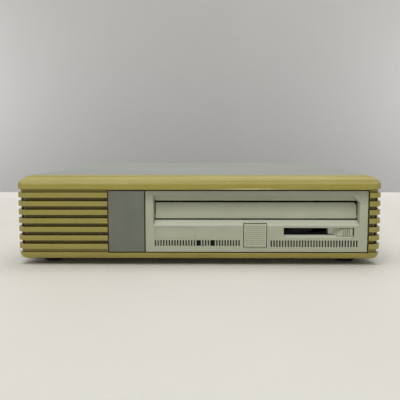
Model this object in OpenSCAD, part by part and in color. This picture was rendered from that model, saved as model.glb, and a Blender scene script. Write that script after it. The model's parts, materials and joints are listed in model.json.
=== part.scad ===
// Desktop drive for removable hard disk cartridges.
// A half-height drive with a door, a locking lever and a stop button sits in a low desktop case.
// X runs across the front, Y from front to back, Z up. The origin lies on the table under the middle.

/* [Case] */
// Width of the case
case_width = 244; // [240:1:270]
// Depth of the case
case_depth = 256; // [254:1:290]
// Height of the case above its feet
body_height = 56; // [55:0.5:64]
// Radius of the long upper edges and of the front bullnose
top_radius = 10; // [7:0.5:12]
// Radius of the upright front corners
corner_radius = 7; // [6.5:0.5:9]
// Radius of the long lower edges
bottom_radius = 8.5; // [7:0.5:9]
// Thickness of the steel sheet
sheet = 1.2; // [0.8:0.1:1.5]
// Distance from the rear edge of the case to the rear panel
rear_recess = 10; // [9.5:0.5:14]

/* [Feet] */
// Height of the rubber feet
foot_height = 4; // [2.5:0.5:8]
// Radius of a foot where it stands
foot_radius = 7; // [5:0.5:9]
// Distance of a foot's middle from the case sides
foot_inset = 20; // [16:1:30]

/* [Front moulding] */
// Depth of the front moulding
moulding_depth = 13; // [12:0.5:16]
// Thickness of plastic behind the grooves
moulding_skin = 2.2; // [1.8:0.1:2.6]
// Number of grooves
groove_count = 8; // [4:1:8]
// Height of one groove
groove_height = 2.3; // [1.5:0.1:3]
// Depth of the grooves
groove_depth = 3.6; // [2:0.1:3.8]
// Depth of the top and bottom grooves, which are shallower
end_groove_depth = 1.7; // [1:0.1:2]
// Height of the lowest groove's middle above the case bottom
groove_start = 5.75; // [5:0.25:7]
// Distance between the middles of two grooves
groove_pitch = 5.74; // [5:0.1:5.8]
// Width of the seam between the moulding and the cover
seam = 0.6; // [0.3:0.1:1]
// Width of the grey badge panel
badge_width = 24; // [16:0.5:30]

/* [Drive front] */
// Width of the drive bezel
bezel_width = 148; // [146:1:149]
// Height of the drive bezel
bezel_height = 41; // [41:0.1:41.4]
// Depth of the drive bezel
bezel_depth = 8; // [7.5:0.25:9]
// Thickness of the bezel's front plate
bezel_plate = 2.5; // [2:0.1:3]
// Width of the moulding strip to the right of the bezel
side_strip = 9.6; // [9.2:0.1:10.5]
// Height of the bezel above the case bottom
bezel_lift = 4.9; // [4.7:0.1:5.2]
// Distance of the bezel face behind the front of the case
bezel_setback = 1; // [0.8:0.1:1.5]
// Width of the cartridge door
door_width = 134.9; // [133:0.1:136]
// Height of the cartridge door
door_height = 10.9; // [10.6:0.1:11.2]
// Thickness of the cartridge door
door_thickness = 2.5; // [2.4:0.1:3]
// Distance of the door behind the bezel face
door_setback = 4; // [3.6:0.1:4.4]
// Width of the stop button
button_width = 14.8; // [12:0.2:16]
// Height of the stop button
button_height = 15.2; // [14.6:0.1:15.4]
// Number of grooves in the stop button
button_grooves = 10; // [4:1:10]
// Travel of the stop button
button_travel = 1.5; // [0.8:0.1:1.7]
// Travel of the locking lever
lever_travel = 29; // [26:0.5:29.5]
// Rise of the motor plate when the lever is over
motor_rise = 3; // [2:0.1:3.2]

/* [Drive body] */
// Width of the drive body
drive_width = 146; // [145:0.5:147]
// Room between the drive body and the rear panel
drive_rear_room = 41.8; // [38:0.2:46]
// Height of the drive body
drive_height = 39.2; // [39:0.1:39.6]
// Thickness of the cast walls
cast_wall = 3; // [2.5:0.1:3.2]
// Length of the drive body behind the cartridge bay
arm_room = 59; // [56:0.5:64]
// Radius of the spindle hub's shaft
spindle_radius = 2; // [1.5:0.1:3]
// Radius of the spindle motor
motor_radius = 25; // [20:1:30]
// Length of the head arm
arm_length = 48; // [44:1:50]

/* [Power supply] */
// Gap between the supply board and the drive
supply_drive_gap = 9.4; // [8:0.2:12]
// Length of the supply board
supply_length = 132; // [120:2:140]
// Height of the board above the pan
supply_standoff = 5; // [4:0.5:7]
// Side of the square fan as a share of the case width
fan_side_share = 0.16393; // [0.156:0.001:0.168]
// Thickness of the fan
fan_depth = 10; // [8:0.5:12]
// Number of fan blades
fan_blades = 7; // [5:1:9]

/* [Rear connectors] */
// Height of the power inlet's hollow
inlet_height = 16.4; // [16:0.1:17]
// Width of the power inlet's hollow
inlet_width = 24.4; // [24:0.1:25]
// Length of a bus port's contact slot
port_slot_length = 66; // [60:1:68]
// Height of a bus port's contact slot
port_slot_height = 5.4; // [5:0.1:5.8]
// Number of contacts on each side of a port's slot
port_contacts_per_side = 25; // [12:1:25]
// Radius of the wire bails
bail_radius = 0.9; // [0.7:0.05:1]

/* [Hidden] */
$fn = 48;
over = 1;
moving_gap = 0.35;
fit = 0.06;
half_width = case_width/2;
front_y = -case_depth/2;
rear_y = case_depth/2;
base_z = foot_height;
top_z = foot_height + body_height;
pan_top = base_z + sheet;
pin_flat = 0.5;

// Front moulding and its opening
moulding_rear = front_y + moulding_depth;
moulding_wall = groove_depth + moulding_skin;
tongue_length = 4;
tongue_wall = 2;
lip_radius = 4;
groove_land = 1.5;
opening_gap = 0.8;
badge_gap = 0.5;
badge_thickness = 2.1;
badge_recess = 2.7;
bezel_x1 = half_width - side_strip;
bezel_x0 = bezel_x1 - bezel_width;
bezel_z0 = base_z + bezel_lift;
bezel_z1 = bezel_z0 + bezel_height;
bezel_y = front_y + bezel_setback;
bezel_back = bezel_y + bezel_depth;
badge_x1 = bezel_x0 - opening_gap;
badge_x0 = badge_x1 - badge_width;
opening_z0 = bezel_z0 - opening_gap*3/4;
opening_z1 = bezel_z1 + opening_gap;

// Steel case
cover_front = moulding_rear + seam;
pan_seam = 0.4;
side_rise = bottom_radius;
flange_height = 18;
flange_front = moulding_rear + tongue_length + over;
panel_y1 = rear_y - rear_recess;
panel_y0 = panel_y1 - sheet;
cover_inner_x = half_width - sheet;
side_slot_count = 14;
side_slot_width = 2.4;
side_slot_height = 20;
side_slot_pitch = 6;
side_slot_lift = 24;
side_slot_rear = 22;
pan_slot_length = 40;
screw_radius = 1.6;
screw_head_radius = 3;
screw_head_height = 1.4;
screw_length = 5;
screw_inset = 12;
screw_lift = 12;
screw_slot = 0.6;

// Bezel details, measured from its lower left corner
bezel_rim = 1.8;
door_left = 6.4;
door_lift = 22.1;
door_side_gap = 0.7;
door_top_gap = 1.2;
door_bottom_gap = 1;
ledge_height = 3.4;
hood_height = 3.8;
side_bevel = 0.7;
recess_corner = 5;
door_corner = 1.8;
block_margin = 3.6;
block_floor = 1.3;
door_pin_radius = 1.1;
door_pin_length = 1.6;
door_pin_lift = 1.4;
door_x0 = bezel_x0 + door_left;
door_x1 = door_x0 + door_width;
door_z0 = bezel_z0 + door_lift;
door_z1 = door_z0 + door_height;
door_y0 = bezel_y + door_setback;
door_y1 = door_y0 + door_thickness;
mouth_x0 = door_x0 - door_side_gap;
mouth_x1 = door_x1 + door_side_gap;
mouth_z0 = door_z0 - door_bottom_gap;
mouth_z1 = door_z1 + door_top_gap;
door_pin_y = (door_y0 + door_y1)/2;
door_pin_z = door_z0 + door_pin_lift;

label_left = 6.1;
label_lift = 9;
label_width = 26.5;
label_height = 7.8;
label_depth = 0.4;
label_corner = 0.9;
vent_left = 6.5;
vent_lift = 4;
vent_height = 4;
vent_width = 0.95;
vent_pitch = 1.867;
vent_count = 31;
lamp_slots = [15, 16, 20, 21];
lamp_window = 3;
right_vent_left = 84;
right_vent_lift = 3.4;
right_vent_height = 4.4;
right_vent_pitch = 1.903;
button_left = 65.8;
button_lift = 3.6;
button_gap = 0.5;
button_depth = 5;
button_proud = 0.6;
button_groove_height = 0.55;
button_groove_pitch = 1.35;
button_groove_depth = 0.5;
button_groove_margin = 0.8;
stem_radius = 1.6;
stem_lift = 3;
spring_length = 4;
spring_radius = 2.6;
spring_wire = 0.35;
spring_turns = 3;
lever_slot_left = 92.2;
lever_slot_width = 46.9;
lever_slot_lift = 11.3;
lever_slot_height = 5;
sill_height = 1.6;
sill_depth = 2;
lever_width = 15.9;
lever_scoop_radius = 7;
lever_scoop_depth = 2.7;
lever_scoop_offset = 1.4;
lever_scoop_angle = 36;
lever_tip = 1.4;
neck_inset = 3;
lever_end_gap = 0.8;
lever_face = 0.4;
lever_grip_count = 4;
lever_grip_width = 0.5;
lever_grip_pitch = 1.27;
lever_grip_start = 2.2;
neck_width = 8;
button_x = bezel_x0 + button_left + button_width/2;
button_z0 = bezel_z0 + button_lift;
button_y0 = bezel_y - button_proud;
button_y1 = button_y0 + button_depth;
stem_z = button_z0 + stem_lift;
switch_y0 = button_y1 + spring_length;
lever_x1 = bezel_x0 + lever_slot_left + lever_slot_width - lever_end_gap;
lever_x0 = lever_x1 - lever_width;
slot_z0 = bezel_z0 + lever_slot_lift;
slot_z1 = slot_z0 + lever_slot_height;

// Lamp board behind the bezel
lamp_board_thickness = 1.6;
lamp_board_width = 64;
lamp_board_height = 7.8;
lamp_board_lift = 1.7;
lamp_radius = 1.5;
switch_side = 6;
lamp_board_setback = 5.4;
lamp_board_reach = 14.4;
lamp_board_y0 = bezel_back + lamp_board_setback;
lamp_board_y1 = lamp_board_y0 + lamp_board_thickness;
lamp_board_x1 = button_x + lamp_board_reach;
lamp_board_x0 = lamp_board_x1 - lamp_board_width;
lamp_board_z0 = bezel_z0 + lamp_board_lift;
lamp_board_z1 = lamp_board_z0 + lamp_board_height;

// Drive casting
drive_x = (bezel_x0 + bezel_x1)/2;
drive_x0 = drive_x - drive_width/2;
drive_x1 = drive_x + drive_width/2;
drive_lift = 0.4;
drive_z0 = bezel_z0 + drive_lift;
drive_z1 = drive_z0 + drive_height;
drive_y1 = panel_y0 - drive_rear_room;
drive_length = drive_y1 - bezel_back;
bay_length = drive_length - arm_room;
cast_x0 = drive_x0 + cast_wall;
cast_x1 = drive_x1 - cast_wall;
deck_thickness = 2.5;
deck_setback = 14;
deck_drop = 0.2;
deck_front = bezel_back + deck_setback;
deck_z1 = mouth_z0 - deck_drop;
deck_z0 = deck_z1 - deck_thickness;
hub_hole_radius = 18;
tie_depth = 2.5;
tie_height = 3.6;
board_ledge = 3.6;
board_ledge_height = 2;
board_thickness = 1.6;
board_side_gap = 0.5;
drive_board_lift = 1.4;
drive_board_gap = 1.6;
drive_board_short = 5;
drive_board_z0 = drive_z0 + drive_board_lift;
drive_board_z1 = drive_board_z0 + board_thickness;
drive_board_y0 = lamp_board_y1 + tie_depth + drive_board_gap;
drive_board_y1 = drive_y1 - drive_board_short;
bay_y1 = bezel_back + bay_length;
spindle_offset = 0.5;
spindle_y = bezel_back + bay_length/2 - spindle_offset;
guide_width = 7.6;
guide_ledge = 1.2;
guide_wall = 2.6;
guide_drop = 1.4;
guide_top = mouth_z1 - guide_drop;
top_plate_thickness = 1.2;
top_plate_dish = 0.8;
dish_share = 0.37;
dish_radius = bay_length*dish_share;
rear_wall_z0 = deck_z0 - over;

// Lever slide and motor plate
slide_thickness = 2;
slide_gap = 0.3;
slide_edge = 1.4;
slide_side_gap = 0.4;
slide_lift = 10.1;
slide_drop = 1.6;
slide_x1 = cast_x1 - slide_side_gap;
slide_z0 = bezel_z0 + slide_lift;
slide_z1 = deck_z1 - slide_drop;
slide_y0 = bezel_back + slide_gap;
slide_y1 = slide_y0 + slide_thickness;
follower_radius = 1.5;
follower_gap = 0.3;
follower_lift = 13.6;
follower_z = bezel_z0 + follower_lift;
follower_b = slide_x1 - slide_edge - follower_radius - follower_gap - lever_travel;
follower_a = follower_b - lever_travel - 2*(follower_radius + follower_gap) - slide_edge;
follower_xs = [follower_a, follower_b];
slide_x0 = follower_a - follower_radius - follower_gap - slide_edge;
rail_thickness = 1.5;
rail_length = 4;
rail_x0 = button_x + button_width/2 + button_gap + over;
rail_x1 = drive_x1 - cast_wall - guide_width - over;
plate_thickness = 1.6;
plate_lift = 1.8;
plate_reach_share = 0.3111;
plate_z0 = drive_board_z1 + plate_lift;
plate_width = 97;
plate_y0 = drive_board_y0 + over;
plate_y1 = spindle_y + bay_length*plate_reach_share;
tab_width = 6;
tab_thickness = 1.6;
guide_pin_radius = 2;
guide_pin_offset = 38.4;
guide_pin_inset = 8;
guide_pin_xs = [drive_x - guide_pin_offset, drive_x + guide_pin_offset];
guide_pin_y = plate_y1 - guide_pin_inset;
motor_base = 2;
bearing_radius = 5;
bearing_height = 6;
coil_count = 9;
coil_inner = 8;
coil_length = 6.4;
coil_width = 4.5;
coil_height = 3.2;
rotor_cup = 1.2;
rotor_gap = 0.5;
hub_radius = 13;
hub_height = 5;
hub_cone = 1.2;
motor_z0 = plate_z0 + plate_thickness;
bearing_z1 = motor_z0 + motor_base + bearing_height;
rotor_z0 = motor_z0 + motor_base + rotor_gap;
rotor_z1 = bearing_z1 + rotor_gap;

// Head arm
arm_offset = 23.6;
arm_setback = 22;
arm_x = drive_x + arm_offset;
arm_y = bay_y1 + arm_setback;
arm_rest_angle = 8;
arm_swing_angle = 38;
arm_hub_radius = 8;
arm_shaft_radius = 2.5;
arm_boss = 1.6;
arm_z0 = deck_z1 + arm_boss + slide_gap;
arm_hub_height = 11;
arm_plate = 1;
arm_root = 14;
arm_tip = 5;
head_size = 3.2;
coil_tail = 26;
coil_ring = 4;
yoke_outer = 34;
yoke_inner = 13;
yoke_plate = 2;
yoke_gap = 4;
yoke_post = 3.5;

// Supply, its parts and the air path
supply_side_gap = 10;
supply_rear_gap = 27;
supply_x0 = -half_width + supply_side_gap;
supply_width = drive_x0 - supply_drive_gap - supply_x0;
supply_y1 = panel_y0 - supply_rear_gap;
supply_y0 = supply_y1 - supply_length;
supply_z0 = pan_top + supply_standoff;
supply_z1 = supply_z0 + board_thickness;
standoff_radius = 3;
standoff_inset = 5;
transformer_x_share = 0.235;
transformer_y_share = 0.379;
transformer_width_share = 0.53;
transformer_length_share = 0.242;
transformer_height = 28;
winding_share = 0.125;
capacitor_share = 0.162;
capacitor_radius = supply_width*capacitor_share;
capacitor_space_share = 1.1;
capacitor_y_share = 0.879;
capacitor_height = 32;
small_capacitor_share = 0.073;
small_capacitor_y_share = 0.106;
small_capacitor_x_share = 0.176;
small_capacitor_pitch_share = 0.191;
small_capacitor_height = 18;
heatsink_length_share = 0.333;
heatsink_length = supply_length*heatsink_length_share;
heatsink_y_share = 0.333;
heatsink_x_share = 0.088;
heatsink_height = 30;
heatsink_wall = 2;
heatsink_fin_share = 0.06;
heatsink_fin = supply_width*heatsink_fin_share;
heatsink_fins = 6;
choke_share = 0.118;
choke_wire_share = 0.4;
choke_radius = supply_width*choke_share;
choke_wire = choke_radius*choke_wire_share;
choke_y_share = 0.25;
fuse_radius = 2.6;
fuse_share = 0.294;
fuse_length = supply_width*fuse_share;
fuse_clip_share = 0.2;
fuse_y_share = 0.697;
connector_share = 0.118;
connector_width = supply_width*connector_share;
connector_edge_share = 0.03;
connector_length = 24;
connector_height = 9;
connector_inset = 5;
wire_radius = 1.1;
wire_pitch = 5;
wire_lift = 4;
wire_step = 3;
wire_run = 6;
wire_rear = 10;
wire_spread = 6;
inlet_wire_gap = 9;
fan_place_share = 0.42623;
fan_x = -half_width + case_width*fan_place_share;
fan_z = base_z + body_height/2;
fan_side = case_width*fan_side_share;
fan_bore = fan_side*0.46;
fan_hub = fan_side*0.2;
fan_hole_pitch = fan_side*0.8;
fan_y0 = panel_y0 - fan_depth;
fan_shaft = 1.5;
fan_blade = 1;
fan_blade_angle = 38;
fan_strut = 2.4;
fan_back = 1.6;
guard_wire = 0.8;
guard_spoke = 1;
guard_rings = 3;

// Rear connectors
inlet_place_share = 0.13934;
inlet_lift = 30;
inlet_x = -half_width + case_width*inlet_place_share;
inlet_z = base_z + inlet_lift;
inlet_wall = 1.7;
inlet_depth = 16;
inlet_flange = [50, 22.8];
inlet_flange_thickness = 3;
inlet_corner = 4;
inlet_pin = [2, 4];
inlet_pin_pitch = 14;
inlet_pin_step = 4;
inlet_screw_pitch = 40;
inlet_floor = 2;
earth_step = 1;
pin_end_gap = 3;
rocker_place_share = 0.30328;
rocker_x = -half_width + case_width*rocker_place_share;
rocker_z = inlet_z;
switch_width = 13;
switch_height = 19.2;
switch_depth = 14;
switch_flange = 1.2;
switch_wall = 1.2;
rocker_pin = 1.2;
rocker_swing_angle = 8;
rocker_depth = 5;
tab_size = [0.8, 6, 7];
id_place_share = 0.53279;
id_x = -half_width + case_width*id_place_share;
id_z = fan_z;
id_radius = 3.6;
id_body = 9;
id_depth = 8;
id_proud = 1.6;
id_slot = 0.8;
port_place_share = 0.7541;
lower_port_lift = 16.5;
upper_port_lift = 39.5;
port_x = -half_width + case_width*port_place_share;
port_zs = [base_z + lower_port_lift, base_z + upper_port_lift];
port_flange_side = 15;
port_flange_height = 14.4;
port_flange = [port_slot_length + 2*port_flange_side, port_flange_height];
port_flange_thickness = 1;
port_shell_wall = 0.8;
port_margin = 3;
port_slope = 2.4;
port_length = 8.4;
port_body_depth = 9;
port_slot_depth = 12;
port_rim = 2.6;
contact_width = 0.9;
contact_height = 0.35;
contact_span_share = 0.94;
bail_side = 9;
bail_pivot = port_slot_length/2 + bail_side;
bail_reach = 10;
bail_half = 5;
ear_size = 2.6;
ear_wall = 1.6;
ribbon_thickness = 1.2;
ribbon_width = 63.5;

// Box between two corners
module box(lo, hi) {
    translate(lo) cube(hi - lo);
}

// Outline drawn in x and z, pushed along Y
module along_y(y0, y1) {
    translate([0, y1, 0]) rotate([90, 0, 0]) linear_extrude(y1 - y0) children();
}

// Outline drawn in y and z, pushed along X
module along_x(x0, x1) {
    translate([x0, 0, 0]) rotate([90, 0, 90]) linear_extrude(x1 - x0) children();
}

// Cylinder along Y between two places
module rod_y(x, z, y0, y1, r) {
    translate([x, y1, z]) rotate([90, 0, 0]) cylinder(h = y1 - y0, r = r);
}

// Cylinder along X between two places
module rod_x(y, z, x0, x1, r) {
    translate([x0, y, z]) rotate([0, 90, 0]) cylinder(h = x1 - x0, r = r);
}

// Rounded rectangle, middle at x = 0, lower edge at y = 0
module rounded(w, h, rt, rb) {
    translate([-w/2, rb]) square([w, h - rb - rt]);
    translate([-w/2 + rb, 0]) square([w - 2*rb, h - rt]);
    translate([-w/2 + rt, rb]) square([w - 2*rt, h - rb]);
    for (s = [-1, 1]) {
        translate([s*(w/2 - rb), rb]) circle(rb);
        translate([s*(w/2 - rt), h - rt]) circle(rt);
    }
}

// The case outline seen from the front, drawn in by an inset
module case_outline(inset) {
    translate([0, base_z + inset])
        rounded(case_width - 2*inset, body_height - 2*inset, top_radius - inset,
            bottom_radius - inset);
}

// The case outline seen from above, drawn in by an inset
module plan_outline(inset) {
    translate([0, front_y + inset])
        rounded(case_width - 2*inset, case_depth - 2*inset, corner_radius - inset,
            corner_radius - inset);
}

// Case form with the front bullnose and the rounded front corners
module front_form() {
    intersection() {
        along_y(front_y, moulding_rear) case_outline(0);
        along_x(-half_width, half_width) translate([0, base_z])
            rounded(case_depth, body_height, top_radius, lip_radius);
        translate([0, 0, base_z]) linear_extrude(body_height) plan_outline(0);
    }
}

function groove_z(i) = base_z + groove_start + i*groove_pitch;

// What the grooves take away at both sides of the opening, from one groove to another
module groove_cuts(first, last, depth) {
    difference() {
        union() for (i = [first:last]) {
            box([-half_width - over, front_y - over, groove_z(i) - groove_height/2],
                [badge_x0 - badge_gap, moulding_rear - groove_land, groove_z(i) + groove_height/2]);
            box([bezel_x1 + opening_gap, front_y - over, groove_z(i) - groove_height/2],
                [half_width + over, moulding_rear - groove_land, groove_z(i) + groove_height/2]);
        }
        translate([0, 0, base_z]) linear_extrude(body_height) plan_outline(depth);
    }
}

module front_moulding() {
    color("khaki") difference() {
        union() {
            front_form();
            along_y(moulding_rear - over, moulding_rear + tongue_length) case_outline(sheet);
        }
        box([-half_width + moulding_wall, front_y + moulding_wall, base_z + moulding_wall],
            [half_width - moulding_wall, moulding_rear, top_z - moulding_wall]);
        along_y(moulding_rear, moulding_rear + tongue_length + over)
            difference() {
                case_outline(sheet);
                difference() {
                    case_outline(sheet);
                    translate([0, base_z + sheet + tongue_wall])
                        rounded(case_width - 2*(sheet + tongue_wall),
                            body_height - 2*(sheet + tongue_wall),
                            top_radius - sheet - tongue_wall, bottom_radius - sheet - tongue_wall);
                }
            }
        groove_cuts(1, groove_count - 2, groove_depth);
        groove_cuts(0, 0, end_groove_depth);
        groove_cuts(groove_count - 1, groove_count - 1, end_groove_depth);
        box([badge_x0 - badge_gap, front_y - over, opening_z0],
            [badge_x1, front_y + badge_recess, opening_z1]);
        box([badge_x1 + over/2, front_y - over, opening_z0],
            [bezel_x1 + opening_gap, moulding_rear + over, opening_z1]);
        box([badge_x1 - over/2, front_y - over, opening_z0],
            [badge_x1 + over, front_y + badge_recess, opening_z1]);
    }
}

module badge_panel() {
    color("slategray") box([badge_x0, front_y + badge_recess - badge_thickness, bezel_z0],
        [badge_x1, front_y + badge_recess, bezel_z1]);
}

module top_cover() {
    color("tan") difference() {
        along_y(cover_front, rear_y) difference() {
            case_outline(0);
            case_outline(sheet);
            translate([-half_width - over, base_z - over])
                square([case_width + 2*over, side_rise + over]);
        }
        for (s = [-1, 1]) for (i = [0:side_slot_count - 1])
            translate([s*half_width, panel_y0 - side_slot_rear - i*side_slot_pitch,
                base_z + side_slot_lift])
                cube([4*sheet, side_slot_width, side_slot_height], center = true);
        for (s = [-1, 1]) for (y = screw_ys) on_side(s, y) sunk_screw(sheet);
    }
}

// Place on the case side: the child's +Z points out of the side
module on_side(s, y) {
    translate([s*half_width, y, base_z + screw_lift]) rotate([0, s*90, 0]) children();
}

// Countersunk screw or the hole that it sits in, flush with z = 0
module sunk_screw(length) {
    translate([0, 0, -sheet]) cylinder(h = sheet, r1 = screw_radius, r2 = screw_head_radius);
    translate([0, 0, -length]) cylinder(h = length, r = screw_radius);
}

screw_ys = [flange_front + screw_inset, (flange_front + panel_y0)/2, panel_y0 - screw_inset];

module chassis_pan() {
    color("gainsboro") difference() {
        union() {
            along_y(cover_front, rear_y) difference() {
                case_outline(0);
                case_outline(sheet);
                translate([-half_width - over, base_z + side_rise - pan_seam])
                    square([case_width + 2*over, body_height]);
            }
            for (s = [-1, 1]) {
                box([s > 0 ? cover_inner_x - sheet : -cover_inner_x, flange_front,
                    base_z + side_rise - pan_seam - sheet],
                    [s > 0 ? cover_inner_x : -cover_inner_x + sheet, panel_y0,
                    base_z + flange_height]);
                box([s > 0 ? cover_inner_x - sheet : -half_width, flange_front,
                    base_z + side_rise - pan_seam - sheet],
                    [s > 0 ? half_width : -cover_inner_x + sheet, panel_y0,
                    base_z + side_rise - pan_seam]);
            }
            for (p = standoffs) translate([p[0], p[1], pan_top - sheet/2])
                cylinder(h = supply_standoff + sheet/2, r = standoff_radius);
        }
        for (i = [0:side_slot_count - 1])
            translate([drive_x, -i*side_slot_pitch, base_z])
                cube([pan_slot_length, side_slot_width, 4*sheet], center = true);
        for (s = [-1, 1]) for (y = screw_ys)
            rod_x(y, base_z + screw_lift, s*cover_inner_x - 2*sheet, s*cover_inner_x + 2*sheet,
                screw_radius);
    }
}

standoffs = [for (x = [supply_x0 + standoff_inset, supply_x0 + supply_width - standoff_inset])
    for (y = [supply_y0 + standoff_inset, supply_y1 - standoff_inset]) [x, y]];

module rear_panel() {
    color("gainsboro") difference() {
        along_y(panel_y0, panel_y1) case_outline(sheet);
        along_y(panel_y0 - over, panel_y1 + over) {
            translate([inlet_x, inlet_z]) square([inlet_width + 2*inlet_wall,
                inlet_height + 2*inlet_wall], center = true);
            translate([rocker_x, rocker_z]) square([switch_width, switch_height], center = true);
            translate([fan_x, fan_z]) circle(fan_bore);
            translate([id_x, id_z]) circle(id_radius + moving_gap);
            for (z = port_zs) translate([port_x, z])
                square([port_slot_length + 2*port_margin, port_slot_height + 2*port_rim],
                    center = true);
        }
        for (sx = [-1, 1]) for (sz = [-1, 1])
            rod_y(fan_x + sx*fan_hole_pitch/2, fan_z + sz*fan_hole_pitch/2, panel_y0 - over,
                panel_y1 + over, screw_radius);
        for (s = [-1, 1]) rod_y(inlet_x + s*inlet_screw_pitch/2, inlet_z, panel_y0 - over,
            panel_y1 + over, screw_radius);
    }
}

module rubber_feet() {
    color("dimgray") for (sx = [-1, 1]) for (sy = [-1, 1])
        translate([sx*(half_width - foot_inset), sy*(rear_y - foot_inset), 0])
            rotate_extrude() polygon([[0, 0], [foot_radius*0.86, 0], [foot_radius, foot_height/4],
                [foot_radius, foot_height], [0, foot_height]]);
}

// Pan head screw with a cross recess, head outwards along +Z from the seat
module screw() {
    difference() {
        union() {
            translate([0, 0, -screw_length]) cylinder(h = screw_length, r = screw_radius);
            cylinder(h = screw_head_height, r1 = screw_head_radius, r2 = screw_head_radius*0.8);
        }
        for (a = [0, 90]) rotate(a) translate([0, 0, screw_head_height])
            cube([screw_head_radius, screw_slot, screw_head_height], center = true);
    }
}

module case_screws() {
    color("silver") {
        for (sx = [-1, 1]) for (sz = [-1, 1])
            translate([fan_x + sx*fan_hole_pitch/2, panel_y1 + guard_wire*2,
                fan_z + sz*fan_hole_pitch/2]) rotate([-90, 0, 0]) screw();
        for (s = [-1, 1])
            translate([inlet_x + s*inlet_screw_pitch/2, panel_y1 + inlet_flange_thickness,
                inlet_z]) rotate([-90, 0, 0]) screw();
        for (s = [-1, 1]) for (y = screw_ys) on_side(s, y) difference() {
            sunk_screw(screw_length);
            for (a = [0, 90]) rotate(a)
                cube([screw_head_radius*1.2, screw_slot, screw_slot], center = true);
        }
    }
}

// Hollow in the bezel in front of the door, with its hood, ledge and cut corners
module door_mouth() {
    intersection() {
        along_x(mouth_x0 - side_bevel, mouth_x1 + side_bevel) polygon([
            [bezel_y - over, mouth_z0 - ledge_height], [bezel_y, mouth_z0 - ledge_height],
            [door_y0, mouth_z0], [bezel_back + over, mouth_z0], [bezel_back + over, mouth_z1],
            [door_y0, mouth_z1], [bezel_y, mouth_z1 + hood_height],
            [bezel_y - over, mouth_z1 + hood_height]]);
        translate([0, 0, mouth_z0 - ledge_height])
            linear_extrude(mouth_z1 - mouth_z0 + ledge_height + hood_height) polygon([
            [mouth_x0 - side_bevel, bezel_y - over], [mouth_x0 - side_bevel, bezel_y],
            [mouth_x0, door_y0], [mouth_x0, bezel_back + over], [mouth_x1, bezel_back + over],
            [mouth_x1, door_y0], [mouth_x1 + side_bevel, bezel_y],
            [mouth_x1 + side_bevel, bezel_y - over]]);
        along_y(bezel_y - over, bezel_back + over) cut_corners(mouth_x0 - side_bevel,
            mouth_x1 + side_bevel, mouth_z0 - ledge_height, mouth_z1 + hood_height,
            recess_corner);
    }
}

// Rectangle in x and z with its upper right corner cut off, and the upper left one too if asked
module cut_corners(x0, x1, z0, z1, c, both = false) {
    polygon(concat([[x0, z0], [x1, z0], [x1, z1 - c], [x1 - c, z1]],
        both ? [[x0 + c, z1], [x0, z1 - c]] : [[x0, z1]]));
}

function is_lamp(i) = len(search(i, lamp_slots)) > 0;
function vent_x(i) = bezel_x0 + vent_left + i*vent_pitch;

module drive_bezel() {
    color("lightgray") difference() {
        union() {
            along_y(bezel_y, bezel_y + bezel_plate) bezel_face();
            along_y(bezel_y, bezel_back) difference() {
                translate([bezel_x0, bezel_z0]) square([bezel_width, bezel_height]);
                translate([bezel_x0 + bezel_rim, bezel_z0 + bezel_rim])
                    square([bezel_width - 2*bezel_rim, bezel_height - 2*bezel_rim]);
            }
            box([mouth_x0 - block_margin, bezel_y, mouth_z0 - ledge_height - block_floor],
                [mouth_x1 + block_margin, bezel_back, bezel_z1]);
            for (z = [slide_z0 - slide_gap - rail_thickness, slide_z1 + slide_gap])
                box([rail_x0, bezel_y + over, z], [rail_x1, bezel_back + rail_length,
                    z + (z < slide_z1 ? rail_thickness : deck_z1 - slide_z1 - slide_gap)]);
        }
        door_mouth();
        box([button_x - button_width/2 - button_gap, bezel_y - over, button_z0 - button_gap],
            [button_x + button_width/2 + button_gap, bezel_back + over,
            button_z0 + button_height + button_gap]);
        along_x(bezel_x0 + lever_slot_left, bezel_x0 + lever_slot_left + lever_slot_width)
            polygon([[bezel_y - over, slot_z0 - sill_height], [bezel_y, slot_z0 - sill_height],
                [bezel_y + sill_depth, slot_z0], [bezel_back + over, slot_z0],
                [bezel_back + over, slot_z1], [bezel_y - over, slot_z1]]);
        along_y(bezel_y - over, bezel_y + label_depth) translate([bezel_x0 + label_left
            + label_width/2, bezel_z0 + label_lift]) rounded(label_width, label_height,
            label_corner, label_corner);
        rod_x(door_pin_y, door_pin_z, mouth_x0 - door_pin_length - over/2,
            mouth_x1 + door_pin_length + over/2, door_pin_radius + fit);
    }
}

// Bezel plate with its two vent rows and the two lamp windows
module bezel_face() {
    difference() {
        translate([bezel_x0, bezel_z0]) square([bezel_width, bezel_height]);
        for (i = [0:vent_count - 1]) if (!is_lamp(i))
            translate([vent_x(i) - vent_width/2, bezel_z0 + vent_lift])
                square([vent_width, vent_height]);
        for (i = [0, 2]) translate([(vent_x(lamp_slots[i]) + vent_x(lamp_slots[i + 1]))/2
            - lamp_window/2, bezel_z0 + vent_lift]) square([lamp_window, vent_height]);
        for (i = [0:vent_count - 1])
            translate([bezel_x0 + right_vent_left + i*right_vent_pitch - vent_width/2,
                bezel_z0 + right_vent_lift]) square([vent_width, right_vent_height]);
    }
}

module cartridge_door() {
    color("whitesmoke") {
        along_y(door_y0, door_y1) cut_corners(door_x0, door_x1, door_z0, door_z1, door_corner);
        for (s = [0, 1])
            rod_x(door_pin_y, door_pin_z, s ? door_x1 - over : mouth_x0 - door_pin_length,
                s ? mouth_x1 + door_pin_length : door_x0 + over, door_pin_radius);
    }
}

module stop_button() {
    color("lightgray") {
        difference() {
            box([button_x - button_width/2, button_y0, button_z0],
                [button_x + button_width/2, button_y1, button_z0 + button_height]);
            for (i = [0:button_grooves - 1])
                translate([button_x, button_y0, button_z0 + button_height
                    - button_groove_margin*2 - i*button_groove_pitch])
                    cube([button_width - 2*button_groove_margin, 2*button_groove_depth,
                        button_groove_height], center = true);
        }
        rod_y(button_x, stem_z, button_y1 - over, switch_y0 - button_travel - slide_gap,
            stem_radius);
    }
}

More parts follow.
